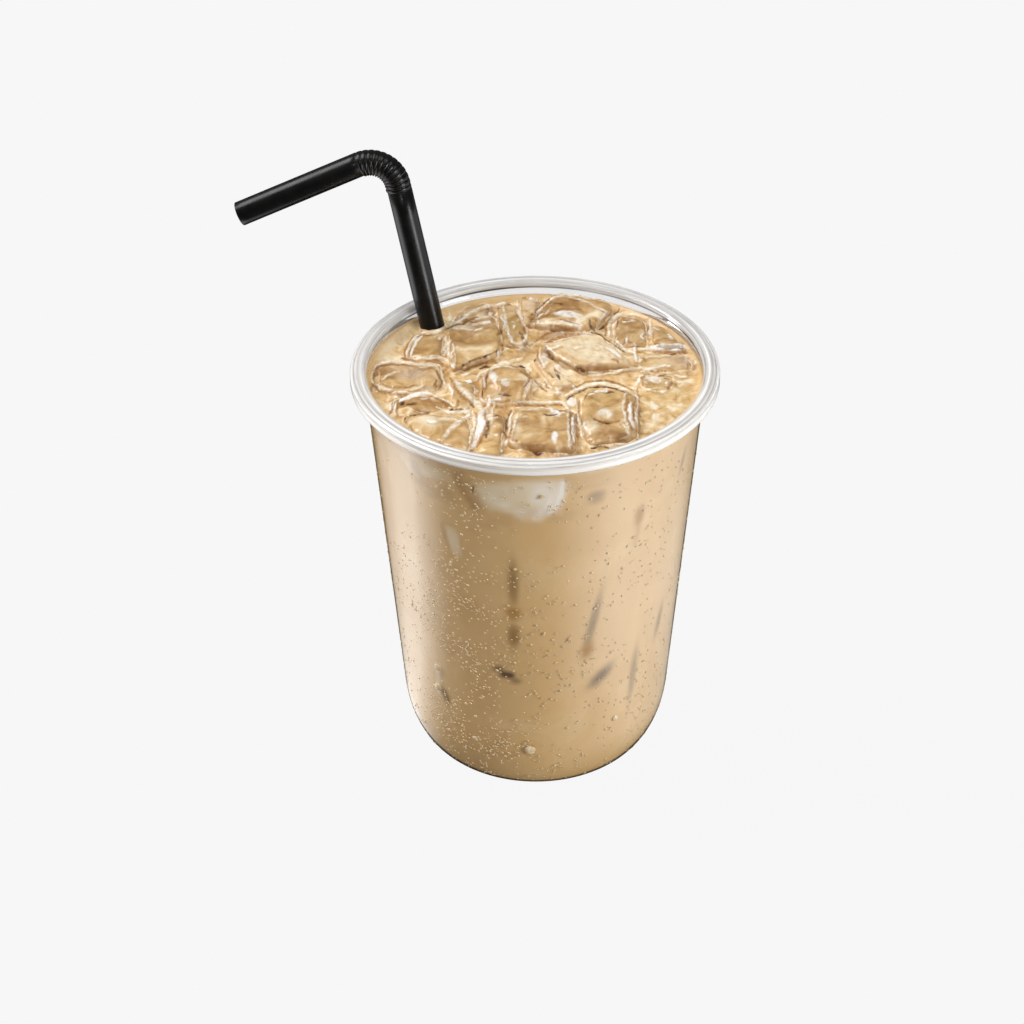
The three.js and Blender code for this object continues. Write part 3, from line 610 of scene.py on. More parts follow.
def outside_at(azimuth, height):
    """The point outside the wall at an azimuth and a height, and the way out of the wall there."""
    profile = bowl_profile(0, HEIGHT, 48)
    heights = [h for _, h in profile[1:]]
    radii = [r for r, _ in profile[1:]]
    radius = float(np.interp(height, heights, radii))
    slope = float(np.interp(height + 0.5, heights, radii) - np.interp(height - 0.5, heights, radii))
    turn = math.radians(azimuth)
    out = Vector((math.cos(turn), math.sin(turn), -slope)).normalized()
    return Vector((radius * math.cos(turn), radius * math.sin(turn), height)), out


def rim_profile():
    """From under the flange out round the skirt, over the two beads of the rim and in."""
    inner = wall_radius(HEIGHT) - WALL / math.cos(TAPER)
    under = HEIGHT - FLANGE_THICKNESS
    skirt_end = HEIGHT - SKIRT_HEIGHT
    inside = RIM_RADIUS - SKIRT_THICKNESS
    points = [(inside, under), (inside, skirt_end + 0.15), (inside + 0.15, skirt_end)]
    points += [(RIM_RADIUS - 0.15, skirt_end), (RIM_RADIUS, skirt_end + 0.15)]
    for angle in range(0, 100, 10):
        a = math.radians(angle)
        points.append((RIM_RADIUS - 0.75 + 0.75 * math.cos(a), HEIGHT - 1.15 + 0.75 * math.sin(a)))
    crease = points[-1][0] - 0.25
    points.append((crease, HEIGHT - 0.52))
    for angle in range(30, 190, 10):
        a = math.radians(angle)
        middle = (crease + inner) / 2
        half = (crease - inner) / 2
        points.append((middle + half * math.cos(a), HEIGHT - 0.85 + 0.85 * math.sin(a)))
    return points


def make_cup():
    """The cup in clear plastic, whose rim is moulded and milky."""
    under = HEIGHT - FLANGE_THICKNESS
    outside = resample(bowl_profile(0, under, 24), 3)
    inside = resample(bowl_profile(WALL, under - MILKY_BAND, 24), 3)
    mouth = wall_radius(under) - WALL / math.cos(TAPER)
    band = resample([inside[-1], (mouth, under)], MOUTH_STEP)[1:]
    rim = resample(rim_profile(), RIM_STEP)
    points, faces = revolve(outside + rim + band[::-1] + inside[::-1], CUP_SEGMENTS)
    cup = add_piece("cup_clear", points, faces)
    rim_start = 1 + CUP_SEGMENTS * (len(outside) - 1)
    rim_end = rim_start + CUP_SEGMENTS * (len(rim) + len(band))
    for face in cup.data.polygons:
        if rim_start <= min(face.vertices) < rim_end:
            face.material_index = 1
    paint_rim(cup, points, rim, under)
    outside_wall = np.arange(len(points)) < rim_start
    # A painted dark edge outside the wall, wider towards the foot, and none on the rim or inside.
    low = np.clip((14 - points[:, 2]) / 10, 0, 1)
    paint(cup, "edge", np.where(outside_wall, 0.18 * low, -1))
    return cup


def paint_rim(cup, points, rim, under):
    """Painted shade along the folds of the rim and towards its back, painted highlights along its beads and
    skirt, and how milky it is.
    """
    radius = np.hypot(points[:, 0], points[:, 1])
    fold = np.zeros(len(points))
    gleam = np.zeros(len(points))
    for kind, ring_radius, height, reach, strength in RIM_RINGS:
        gap = np.hypot(radius - ring_radius, points[:, 2] - height)
        uneven = 0.85 + 0.3 * slow_waves(points, 25, 71)
        amount = strength * np.exp(-((gap / reach) ** 2)) * uneven
        layer = fold if kind == "fold" else gleam
        np.maximum(layer, amount, out=layer)
    # Faint arcs: every third one painted shade, the rest painted highlights.
    random = np.random.default_rng(FAINT_SEED)
    for i, (ring_radius, height) in enumerate(random.permutation(rim)[:FAINT_RINGS]):
        gap = np.hypot(radius - ring_radius, points[:, 2] - height)
        arcs = np.clip(slow_waves(points, 30, 200 + i), 0, 1)
        amount = 0.8 * arcs * np.exp(-((gap / 0.13) ** 2))
        layer = fold if i % 3 == 0 else gleam
        np.maximum(layer, amount * (0.55 if i % 3 == 0 else 1), out=layer)
    # Painted shade, darker towards the back.
    towards_back = np.clip(points[:, 1] / 30, 0, 1)
    np.maximum(fold, 0.2 * towards_back, out=fold)
    # A painted highlight over the skirt.
    skirt = (radius > 44) & (points[:, 2] < under + 0.15)
    np.maximum(gleam, 0.75 * skirt, out=gleam)
    paint(cup, "fold", fold)
    paint(cup, "gleam", gleam)
    within = (radius < wall_radius(under)) & (points[:, 2] < under)
    paint(cup, "milky", np.where(within, 0.2, 0.66))


# Ice


def rounded_box(counts):
    """A box from -1 to 1 with shared points, as points and four-sided faces."""
    index = {}
    points = []
    faces = []

    def corner(axis, side, i, j):
        second, third = (axis + 1) % 3, (axis + 2) % 3
        place = [0, 0, 0]
        place[axis] = side * counts[axis]
        place[second] = 2 * i - counts[second]
        place[third] = 2 * j - counts[third]
        key = tuple(place)
        if key not in index:
            index[key] = len(points)
            points.append([p / count for p, count in zip(place, counts)])
        return index[key]

    for axis in range(3):
        for side in (-1, 1):
            for i in range(counts[(axis + 1) % 3]):
                for j in range(counts[(axis + 2) % 3]):
                    quad = [(i, j), (i + 1, j), (i + 1, j + 1), (i, j + 1)]
                    face = [corner(axis, side, *place) for place in quad]
                    faces.append(face if side > 0 else face[::-1])
    return np.array(points), faces


def ice_shape(cube, step):
    """A melted cube: a box with its edges rounded off, drawn out to its four corners."""
    number, corners, depth, power, hollow, _ = cube
    across = math.dist(corners[0][:2], corners[1][:2])
    away = math.dist(corners[0][:2], corners[3][:2])
    unit, faces = rounded_box([max(6, round(across / step)), max(6, round(away / step)), 14])
    spread = np.sign(unit) * np.abs(unit) ** 0.8
    unit = spread * (np.abs(spread) ** power).sum(1, keepdims=True) ** (-1 / power)
    near_left, near_right, far_right, far_left = np.array(corners, float)
    across = (1 + unit[:, :1]) / 2
    away = (1 + unit[:, 1:2]) / 2
    near = near_left + (near_right - near_left) * across
    far = far_left + (far_right - far_left) * across
    top = near + (far - near) * away
    middle = np.array(corners, float)[:, :2].mean(0)
    down = (1 - unit[:, 2]) / 2
    narrow = 1 - ICE_NARROWING * down
    points = np.empty_like(unit)
    points[:, 0] = middle[0] + (top[:, 0] - middle[0]) * narrow
    points[:, 1] = middle[1] + (top[:, 1] - middle[1]) * narrow
    points[:, 2] = LEVEL + top[:, 2] + (-depth - top[:, 2]) * down
    plan = np.maximum(np.abs(unit[:, 0]), np.abs(unit[:, 1]))
    points[:, 2] -= hollow * np.clip(1 - plan ** 3, 0, 1) * (unit[:, 2] > 0) * unit[:, 2]
    out = unit / np.linalg.norm(unit, axis=1, keepdims=True)
    uneven = 0.38 * slow_waves(points, 8, ICE_SEED + number) + 0.1 * slow_waves(points, 3, number)
    return points + out * uneven[:, None], faces


def shrunk(points, faces, distance):
    """Points moved in along their normals."""
    triangles = np.array(faces)
    normals = np.zeros_like(points)
    a, b, c, d = (points[triangles[:, i]] for i in range(4))
    way = np.cross(c - a, d - b)
    for i in range(4):
        np.add.at(normals, triangles[:, i], way)
    normals /= np.linalg.norm(normals, axis=1, keepdims=True)
    return points - normals * distance


def make_ice():
    """One piece for each cube, with the tones painted on it, painted highlights and shade among them."""
    pieces = []
    for cube in ICE:
        points, faces = ice_shape(cube, ICE_STEP)
        tone, cover, lift = tones_at(points)
        points[:, 2] += lift
        piece = add_piece(f"ice_cube_{cube[0]:02d}", points, faces)
        paint(piece, "milk", np.full(len(points), cube[5]))
        paint(piece, "cover", cover)
        paint_colour(piece, "tone", tone)
        pieces.append(piece)
    return pieces


def seen(points):
    """Places as they show from the camera's height: across, and up the picture."""
    up = points[:, 1] * math.sin(CAMERA_ELEVATION)
    if points.shape[1] > 2:
        up = up + (points[:, 2] - LEVEL) * math.cos(CAMERA_ELEVATION)
    return np.stack([points[:, 0], up], 1)


def smooth_line(corners):
    """A line through the corners that bends instead of turning."""
    corners = [2 * corners[0] - corners[1], *corners, 2 * corners[-1] - corners[-2]]
    line = []
    for a, b, c, d in zip(corners, corners[1:], corners[2:], corners[3:]):
        for share in (0, 0.25, 0.5, 0.75):
            bend = 2 * a - 5 * b + 4 * c - d
            twist = 3 * b - a - 3 * c + d
            line.append(b + (c - a) * share / 2 + bend * share ** 2 / 2 + twist * share ** 3 / 2)
    line.append(corners[-2])
    return line


def near_line(places, line):
    """The distance from a line, and how far along it, of each place."""
    gap = np.full(len(places), 1e3)
    along = np.zeros(len(places))
    count = len(line) - 1
    for i, (start, end) in enumerate(zip(line, line[1:])):
        way = end - start
        share = np.clip((places - start) @ way / (way @ way), 0, 1)
        new = np.linalg.norm(places - start - share[:, None] * way, axis=1)
        nearer = new < gap
        gap[nearer] = new[nearer]
        along[nearer] = (i + share[nearer]) / count
    return gap, along


def near_box(places, line, reach):
    """Which places lie near enough to a line to be measured."""
    low = np.min(line, axis=0) - reach
    high = np.max(line, axis=0) + reach
    return np.nonzero(((places > low) & (places < high)).all(1))[0]


class Coat:
    """Tones laid over each other on a set of points, each covering a share of what lies below."""

    def __init__(self, count):
        self.colour = np.zeros((count, 3))
        self.cover = np.zeros(count)
        self.lift = np.zeros(count)

    def lay(self, name, amount, where=slice(None)):
        """Lays an amount of a named tone on some of the points."""
        colour, lift = TONES[name]
        self.colour[where] += (np.array(colour) - self.colour[where]) * amount[:, None]
        self.cover[where] += (1 - self.cover[where]) * amount
        self.lift[where] += (lift - self.lift[where]) * amount

    def tone(self):
        """The colour of the coat alone at each point."""
        return self.colour / np.maximum(self.cover, 0.01)[:, None]


def edge_glints_and_shade():
    """Painted glints and painted shade in short lines along the cubes' edges, too small to be listed one by
    one.
    """
    random = np.random.default_rng(GLINT_SEED)
    lines = []
    for cube in ICE:
        corners = np.array(cube[1])[:, :2]
        for start, end in zip(corners, np.roll(corners, -1, axis=0)):
            way = end - start
            out = np.array([way[1], -way[0]]) / np.linalg.norm(way)
            for _ in range(GLINTS_PER_EDGE):
                name = random.choice(["cream", "white", "brown", "dark"], p=[0.42, 0.2, 0.28, 0.1])
                first = start + way * random.uniform(0, 0.8) + out * random.uniform(-1.8, 1.1)
                last = first + way * random.uniform(0.08, 0.3) + out * random.normal(0, 0.5)
                middle = (first + last) / 2 + out * random.normal(0, 0.35)
                lines.append((name, random.uniform(0.24, 0.4), [first, middle, last]))
    return lines


def tones_at(points):
    """The painted tone at each point of ice or drink, painted highlights and shade among it, how fully it
    covers, and its lift.
    """
    shown = points[:, 2] > LEVEL - 1.5
    top = points[shown]
    wander = np.stack([slow_waves(top, 4, 61), slow_waves(top, 4, 62)], 1)
    places = seen(top) + 0.16 * wander
    uneven = np.clip(0.82 + 0.35 * slow_waves(top, 2.2, 63), 0.3, 1)
    fine = np.clip(1 + 0.6 * slow_waves(top, 1.6, 64), 0.3, 1.7)
    coat = Coat(len(top))
    for name, x, y, half_length, half_width, turn, strength in ICE_PATCHES:
        a = math.radians(turn)
        from_middle = places - seen(np.array([[x, y]]))
        along = (from_middle[:, 0] * math.cos(a) + from_middle[:, 1] * math.sin(a)) / half_length
        side = (from_middle[:, 1] * math.cos(a) - from_middle[:, 0] * math.sin(a)) / half_width
        far = np.hypot(along, side) + 0.18 * wander[:, 0]
        # White patches are painted highlights, with crisper edges.
        edge = 0.3 if name == "white" else 0.9
        coat.lay(name, strength * np.clip((1 + edge / 2 - far) / edge, 0, 1) * uneven)
    for name, half_width, corners in edge_glints_and_shade() + ICE_LINES:
        line = smooth_line(list(seen(np.array(corners, float))))
        where = near_box(places, line, 2 * half_width + 0.5)
        if not len(where):
            continue
        # Painted shade beside each pale line.
        if name in ("cream", "white"):
            shade, _ = near_line(places[where] + SHADE_SIDE, line)
            amount = 0.42 * np.clip(1.4 - 0.75 * shade / half_width, 0, 1)
            coat.lay("brown", amount * uneven[where], where)
        gap, along = near_line(places[where], line)
        width = half_width * (0.45 + 0.55 * np.sin(math.pi * np.clip(along, 0.02, 0.98)) ** 0.5)
        if name == "cream":
            width *= 0.6 + 0.3 * fine[where]
        amount = np.clip((1.25 - gap / width) * 2, 0, 1) * uneven[where]
        if name == "cream":
            amount *= 0.45 + 0.4 * np.clip(fine[where], 0, 1.3)
        coat.lay(name, amount, where)
        # A painted highlight in white along the middle of a cream line.
        if name == "cream":
            core = np.clip((0.65 - gap / width) * 2, 0, 1)
            coat.lay("white", core * np.clip(fine[where] * 1.2 - 1.05, 0, 0.8), where)
    tone = np.zeros((len(points), 3)) + TONES["pale"][0]
    tone[shown] = coat.tone()
    cover = np.zeros(len(points))
    cover[shown] = coat.cover
    lift = np.zeros(len(points))
    lift[shown] = coat.lift
    return tone, cover, lift


# Straw


def straw_axis():
    """The point on the straw's axis and its direction at a distance from the foot."""
    leg_way = (STRAW_CORNER - STRAW_FOOT).normalized()
    arm_way = (STRAW_TIP - STRAW_CORNER).normalized()
    side = leg_way.cross(arm_way).normalized()
    turn = leg_way.angle(arm_way)
    cut = BEND_RADIUS * math.tan(turn / 2)
    leg = (STRAW_CORNER - STRAW_FOOT).length - cut
    bend = BEND_RADIUS * turn
    arm = (STRAW_TIP - STRAW_CORNER).length - cut
    inwards = side.cross(leg_way)

    def at(distance):
        turned = min(max((distance - leg) / BEND_RADIUS, 0), turn)
        way = Matrix.Rotation(turned, 3, side) @ leg_way
        centre = STRAW_FOOT + leg_way * min(distance, leg)
        centre += inwards * BEND_RADIUS * (1 - math.cos(turned))
        centre += leg_way * BEND_RADIUS * math.sin(turned)
        centre += way * max(distance - leg - bend, 0)
        return centre, way

    return at, side, leg, bend, leg + bend + arm


def straw_ring(at, side, distance, radius, sides, ridge=0):
    """Points round the straw, whose ridges are lower along the outside of the bend."""
    centre, way = at(distance)
    across = way.cross(side)
    middle = (1 + RIDGE_OUTSIDE) / 2
    ring = []
    for j in range(sides):
        a = 2 * math.pi * j / sides
        r = radius + ridge * (middle + (1 - middle) * math.cos(a))
        ring.append(centre - across * r * math.cos(a) + side * r * math.sin(a))
    return ring


def straw_stations(leg, bend, length):
    """Distance, radius and height of ridge along the straw, in narrow folds and round ridges."""
    start = leg - BELLOWS_ON_LEG
    end = leg + bend - BELLOWS_STOP_SHORT
    stations = [(d, STRAW_RADIUS, 0) for d in np.linspace(0, start - 0.1, 24)]
    count = PLEATS * STATIONS_PER_PLEAT
    for i in range(count + 1):
        share = (i % STATIONS_PER_PLEAT) / STATIONS_PER_PLEAT
        ridge = (RIDGE + VALLEY) * math.sin(math.pi * share) ** 0.5
        distance = start + (end - start) * i / count
        stations.append((distance, STRAW_RADIUS - VALLEY, ridge))
    stations += [(d, STRAW_RADIUS, 0) for d in np.linspace(end + 0.15, length - 0.12, 20)]
    stations.append((length - 0.03, STRAW_RADIUS - 0.04, 0))
    return stations


def make_straw():
    """A tube with a rounded lip at its tip, closed through the thickness of its wall."""
    at, side, leg, bend, length = straw_axis()
    outside = straw_stations(leg, bend, length)
    inside = [(d, r - STRAW_WALL, ridge) for d, r, ridge in reversed(outside)]
    stations = outside + [(length, STRAW_RADIUS - STRAW_WALL / 2, 0)] + inside
    points = []
    faces = []
    for i, (distance, radius, ridge) in enumerate(stations):
        points += straw_ring(at, side, distance, radius, STRAW_SIDES, ridge)
        after = (i + 1) % len(stations)
        faces += ring_faces(i * STRAW_SIDES, after * STRAW_SIDES, STRAW_SIDES)
    return add_piece("straw_black", points, faces)


# Drink


def disc(radius, height, outer_count, step):
    """Points and faces of a level disc in rings, finer meshed than a fan, numbered from the rim in."""
    points = []
    rings = []
    count = max(2, round(radius / step))
    for i in range(count):
        r = radius * (1 - i / count)
        n = outer_count if i == 0 else max(8, round(2 * math.pi * r / step))
        turns = (np.arange(n) + 0.5 * (i % 2)) * 2 * math.pi / n
        rings.append((len(points), n, turns))
        points += [(r * math.cos(t), r * math.sin(t), height) for t in turns]
    centre = len(points)
    points.append((0, 0, height))
    faces = []
    for (first, n, outer), (second, m, inner) in zip(rings, rings[1:]):
        i = j = 0
        while i < n or j < m:
            next_outer = outer[0] + 2 * math.pi * (i + 1) / n
            next_inner = inner[0] + 2 * math.pi * (j + 1) / m
            a, b = first + i % n, second + j % m
            if j >= m or (i < n and next_outer <= next_inner):
                faces.append((a, first + (i + 1) % n, b))
                i += 1
            else:
                faces.append((a, second + (j + 1) % m, b))
                j += 1
    first, n, _ = rings[-1]
    faces += [(first + j, first + (j + 1) % n, centre) for j in range(n)]
    return np.array(points), faces


def make_drink(cubes):
    """The drink as one closed body up to its level, hollowed for the ice and the straw."""
    offset = WALL - IN_WALL
    profile = resample(bowl_profile(offset, LEVEL, 20), 1.8)[:-1]
    body_points, body_faces = revolve(profile + [(0, LEVEL)], DRINK_SEGMENTS)
    body_points = body_points[:-1]
    last_ring = len(body_points) - DRINK_SEGMENTS
    body_faces = body_faces[:-DRINK_SEGMENTS]
    radius = wall_radius(LEVEL) - offset / math.cos(TAPER)
    top_points, top_faces = disc(radius, LEVEL, DRINK_SEGMENTS, SURFACE_STEP)
    shift = len(body_points)
    points = np.concatenate([body_points, top_points])
    faces = body_faces + ring_faces(last_ring, shift, DRINK_SEGMENTS)
    faces += [tuple(i + shift for i in face) for face in top_faces]
    drink = add_piece("drink", points, faces)
    for cube in ICE:
        shape, shape_faces = ice_shape(cube, CUTTER_STEP)
        cut(drink, shrunk(shape, shape_faces, WETTING), shape_faces)
    at, side, leg, _, _ = straw_axis()
    sides = 32
    middle = STRAW_RADIUS - STRAW_WALL / 2
    leg_points = straw_ring(at, side, -0.2, middle, sides) + straw_ring(at, side, leg, middle, sides)
    ends = [tuple(range(sides - 1, -1, -1)), tuple(range(sides, 2 * sides))]
    cut(drink, leg_points, ring_faces(0, sides, sides) + ends)
    finish_drink(drink, cubes)
    return drink


def cut(piece, points, faces):
    """Takes a closed form out of a piece."""
    cutter = add_piece("cutter", points, faces)
    step = piece.modifiers.new("cut", "BOOLEAN")
    step.object = cutter
    step.operation = "DIFFERENCE"
    step.solver = "MANIFOLD"
    graph = bpy.context.evaluated_depsgraph_get()
    mesh = bpy.data.meshes.new_from_object(piece.evaluated_get(graph))
    piece.modifiers.clear()
    old = piece.data
    piece.data = mesh
    bpy.data.meshes.remove(old)
    bpy.data.objects.remove(cutter)


def finish_drink(drink, cubes):
    """Lets the surface climb where it wets ice, straw and wall, and paints tones, highlights, shade and
    light on it.
    """
    points = read_points(drink)
    ice_points = []
    ice_faces = []
    for cube in cubes:
        shift = len(ice_points)
        ice_points += read_points(cube).tolist()
        ice_faces += [tuple(i + shift for i in face.vertices) for face in cube.data.polygons]
    tree = BVHTree.FromPolygons(ice_points, ice_faces)
    on_top = points[:, 2] > LEVEL - 0.02
    near_top = points[:, 2] > LEVEL - 3
    gap = np.full(len(points), 50.0)
    for i in np.nonzero(near_top)[0]:
        gap[i] = tree.find_nearest(Vector(points[i]))[3]
    radius = np.hypot(points[:, 0], points[:, 1])
    bowl = np.array(bowl_profile(WALL - IN_WALL, LEVEL, 40)[1:])
    wall_gap = np.interp(points[:, 2], bowl[:, 1], bowl[:, 0]) - radius
    at, _, leg, _, _ = straw_axis()
    foot, way = at(0)
    crossing = foot + way * ((LEVEL - foot.z) / way.z)
    straw_gap = np.hypot(points[:, 0] - crossing.x, points[:, 1] - crossing.y) - STRAW_RADIUS
    climb = 0.7 * np.exp(-gap / 0.5) * (1 + 0.5 * slow_waves(points, 7, 5))
    climb += 0.8 * np.exp(-np.maximum(wall_gap - 0.3, 0) / 0.8)
    climb += 0.7 * np.exp(-np.maximum(straw_gap, 0) / 0.8)
    ripple = 0.35 * slow_waves(points, 7, 11) + 0.12 * slow_waves(points, 2.4, 12)
    ripple *= np.clip(wall_gap / 3, 0, 1)
    points[on_top, 2] += (climb + ripple)[on_top]
    tone, cover, lift = tones_at(points)
    inland = on_top * np.clip(wall_gap / 1.5, 0, 1)
    points[:, 2] += lift * inland
    write_points(drink, points)
    paint_colour(drink, "tone", tone)
    paint(drink, "cover", cover * inland)
    # How far from the ice, for the painted highlight and shade rings round it.
    paint(drink, "gap", np.where(on_top, np.minimum(gap, 4), 4) / 4)
    paint(drink, "surface", on_top * np.clip(wall_gap / 4, 0, 1))
    # Painted light in the hollows round the ice, stronger further down.
    hollow = (wall_gap > 0.4) & (points[:, 2] > 60)
    paint(drink, "under", np.clip((LEVEL - points[:, 2]) / 6, 0, 1) * hollow)
    at_wall = wall_gap < 0.4
    dark, red = dark_streaks(points)
    paint(drink, "dark", dark * at_wall)
    paint(drink, "red", red)
    # Painted light and shade where ice lies against the wall.
    behind, shade = wall_tones(points)
    paint_colour(drink, "behind", behind)
    paint(drink, "shade", shade * at_wall)


def unrolled(points):
    """The azimuth in radians and the radius of each point."""
    return np.arctan2(points[:, 1], points[:, 0]), np.hypot(points[:, 0], points[:, 1])


def within(points, turn, height, half_width, half_height, lean):
    """How far across and up each point lies in a mark on the wall, as shares of its half sizes."""
    azimuth, radius = unrolled(points)
    a = math.radians(lean)
    across = (azimuth - math.radians(turn)) * radius
    up = points[:, 2] - height
    x = (across * math.cos(a) - up * math.sin(a)) / half_width
    y = (across * math.sin(a) + up * math.cos(a)) / half_height
    return x, y


def dark_streaks(points):
    """How dark the streaks painted behind the wall are at each point, and how red."""
    dark = np.zeros(len(points))
    red = np.zeros(len(points))
    for *form, depth, warm in DARK_STREAKS:
        x, y = within(points, *form)
        amount = depth * np.exp(-((x * x + y * y) ** 1.6))
        red = np.where(amount > dark, warm, red)
        dark = np.maximum(dark, amount)
    return dark, red


def wall_tones(points):
    """The painted light and shade where ice lies against the wall, at each point, and how fully it shows.
    """
    coat = Coat(len(points))
    wander = slow_waves(points, 9, 81)
    for name, *form, strength in WALL_PATCHES:
        x, y = within(points, *form)
        far = (np.abs(x) ** 3 + np.abs(y) ** 3) ** (1 / 3) + 0.12 * wander
        amount = np.clip((1.35 - far) / 0.8, 0, 1)
        coat.lay(name, strength * amount * amount * (3 - 2 * amount))
    azimuth, radius = unrolled(points)
    places = np.stack([azimuth * radius, points[:, 2]], 1)
    for name, half_width, strength, corners in WALL_LINES:
        line = smooth_line([
            np.array([math.radians(turn) * wall_radius(height), height]) for turn, height in corners
        ])
        where = near_box(places, line, 3 * half_width)
        gap, _ = near_line(places[where], line)
        coat.lay(name, strength * np.exp(-((gap / half_width) ** 2)), where)
    return coat.tone(), coat.cover


# Condensation


def dome(centre, out, radius, height, sides, rings):
    """A closed drop on the wall, as points and faces."""
    up = Vector((0, 0, 1))
    up = (up - out * out.dot(up)).normalized()
    across = up.cross(out)
    points = []
    faces = []
    for i in range(rings):
        a = math.pi / 2 * i / rings
        for j in range(sides):
            t = 2 * math.pi * j / sides
            sag = 1 - 0.12 * math.sin(t)
            flat = (across * math.cos(t) + up * math.sin(t) * sag) * radius * math.cos(a)
            points.append(centre + flat + out * height * math.sin(a))
    for i in range(rings - 1):
        faces += ring_faces(i * sides, (i + 1) * sides, sides)
    top = len(points)
    points.append(centre + out * height)
    last = (rings - 1) * sides
    faces += [(last + j, last + (j + 1) % sides, top) for j in range(sides)]
    faces.append(tuple(range(sides - 1, -1, -1)))
    return points, faces


def make_drops():
    """Condensation outside the wall: fine drops in drifts, and a few large ones."""
    random = np.random.default_rng(DROP_SEED)
    points = []
    faces = []

    def add(azimuth, height, radius, rise, sides, rings):
        place, out = outside_at(azimuth, height)
        new_points, new_faces = dome(place - out * 0.03, out, radius, rise, sides, rings)
        shift = len(points)
        points.extend(new_points)
        faces.extend(tuple(i + shift for i in face) for face in new_faces)

    places = np.stack([
        random.uniform(-180, 180, FINE_DROPS * 5),
        random.uniform(4, 107, FINE_DROPS * 5),
        random.uniform(0, 1, FINE_DROPS * 5),
    ], 1)
    turns = np.radians(places[:, 0])
    on_wall = np.stack([40 * np.cos(turns), 40 * np.sin(turns), places[:, 1]], 1)
    crowd = 0.5 + 0.5 * slow_waves(on_wall, 16, 31)
    left = np.exp(-(((places[:, 0] - CROWDED) / 17) ** 2))
    crowd *= 0.2 + 1.5 * left * np.clip((100 - places[:, 1]) / 50, 0.35, 1)
    kept = places[places[:, 2] < crowd][:FINE_DROPS]
    sizes = 0.2 + 0.042 * random.gamma(1.6, 1, len(kept))
    for (azimuth, height, _), radius in zip(kept, sizes):
        radius = min(radius, FINE_DROP_RADIUS)
        add(azimuth, height, radius, radius * 0.55, 7, 2)
    for azimuth, height, radius in LARGE_DROPS:
        add(azimuth, height, radius, radius * 0.4, 20, 7)
    return add_piece("condensation", points, faces)


# Materials


class Graph:
    """The nodes of a material or a world, and short ways to add and join them."""

    def __init__(self, owner):
        owner.use_nodes = True
        self.nodes = owner.node_tree.nodes
        self.links = owner.node_tree.links
        self.nodes.clear()

    def add(self, kind, **values):
        made = self.nodes.new(kind)
        for key, value in values.items():
            if key in made.inputs:
                made.inputs[key].default_value = value
            else:
                setattr(made, key, value)
        return made

    def put(self, value, socket):
        """Sets a socket to a number or a colour, or joins it to another."""
        if isinstance(value, (int, float)):
            socket.default_value = value
        elif isinstance(value, tuple):
            socket.default_value = (*value, 1)
        else:
            self.links.new(value, socket)

    def noise(self, scale, detail=4.0, distortion=0.0):
        """A noise in the object's own space, whose scale is in features per metre."""
        place = self.add("ShaderNodeTexCoord")
        made = self.add("ShaderNodeTexNoise", Scale=scale, Detail=detail, Distortion=distortion)
        self.put(place.outputs["Object"], made.inputs["Vector"])
        return made.outputs["Fac"]

    def ramp(self, value, *stops):
        """A number or a colour for each value."""
        made = self.add("ShaderNodeValToRGB")
        elements = made.color_ramp.elements
        while len(elements) < len(stops):
            elements.new(0.5)
        for element, (position, level) in zip(elements, stops):
            colour = level if isinstance(level, tuple) else (level,) * 3
            element.position = position
            element.color = (*colour, 1)
        self.put(value, made.inputs["Fac"])
        return made.outputs["Color"]

    def attribute(self, name):
        """A painted number."""
        return self.add("ShaderNodeAttribute", attribute_name=name).outputs["Fac"]

    def painted(self, name):
        """A painted colour."""
        return self.add("ShaderNodeAttribute", attribute_name=name).outputs["Color"]

    def calc(self, operation, *values, clamp=False):
        made = self.add("ShaderNodeMath", operation=operation, use_clamp=clamp)
        for socket, value in zip(made.inputs, values):
            self.put(value, socket)
        return made.outputs["Value"]

    def blend(self, share, a, b, mode="MIX"):
        made = self.add("ShaderNodeMix", data_type="RGBA", blend_type=mode)
        for key, value in (("Factor", share), ("A", a), ("B", b)):
            self.put(value, next(s for s in made.inputs if s.name == key and s.enabled))
        return next(s for s in made.outputs if s.enabled)

    def bump(self, height, strength, distance):
        made = self.add("ShaderNodeBump", Strength=strength, Distance=distance)
        self.put(height, made.inputs["Height"])
        return made.outputs["Normal"]

    def mix(self, share, first, second):
        """A share of the second surface over the first."""
        made = self.add("ShaderNodeMixShader")
        for socket, value in zip(made.inputs, (share, first, second)):
            self.put(value, socket)
        return made.outputs[0]

    def show(self, surface, output="ShaderNodeOutputMaterial"):
        self.put(surface, self.add(output).inputs["Surface"])


def new_material(name):
    material = bpy.data.materials.new(name)
    return material, Graph(material)


def open_to_lamps(graph, surface, tint):
    """A clear surface that the lamps shine straight through."""
    path = graph.add("ShaderNodeLightPath")
    rays = graph.calc("MAXIMUM", path.outputs["Is Shadow Ray"], path.outputs["Is Diffuse Ray"])
    clear = graph.add("ShaderNodeBsdfTransparent", Color=(*tint, 1))
    return graph.mix(rays, surface, clear.outputs[0])


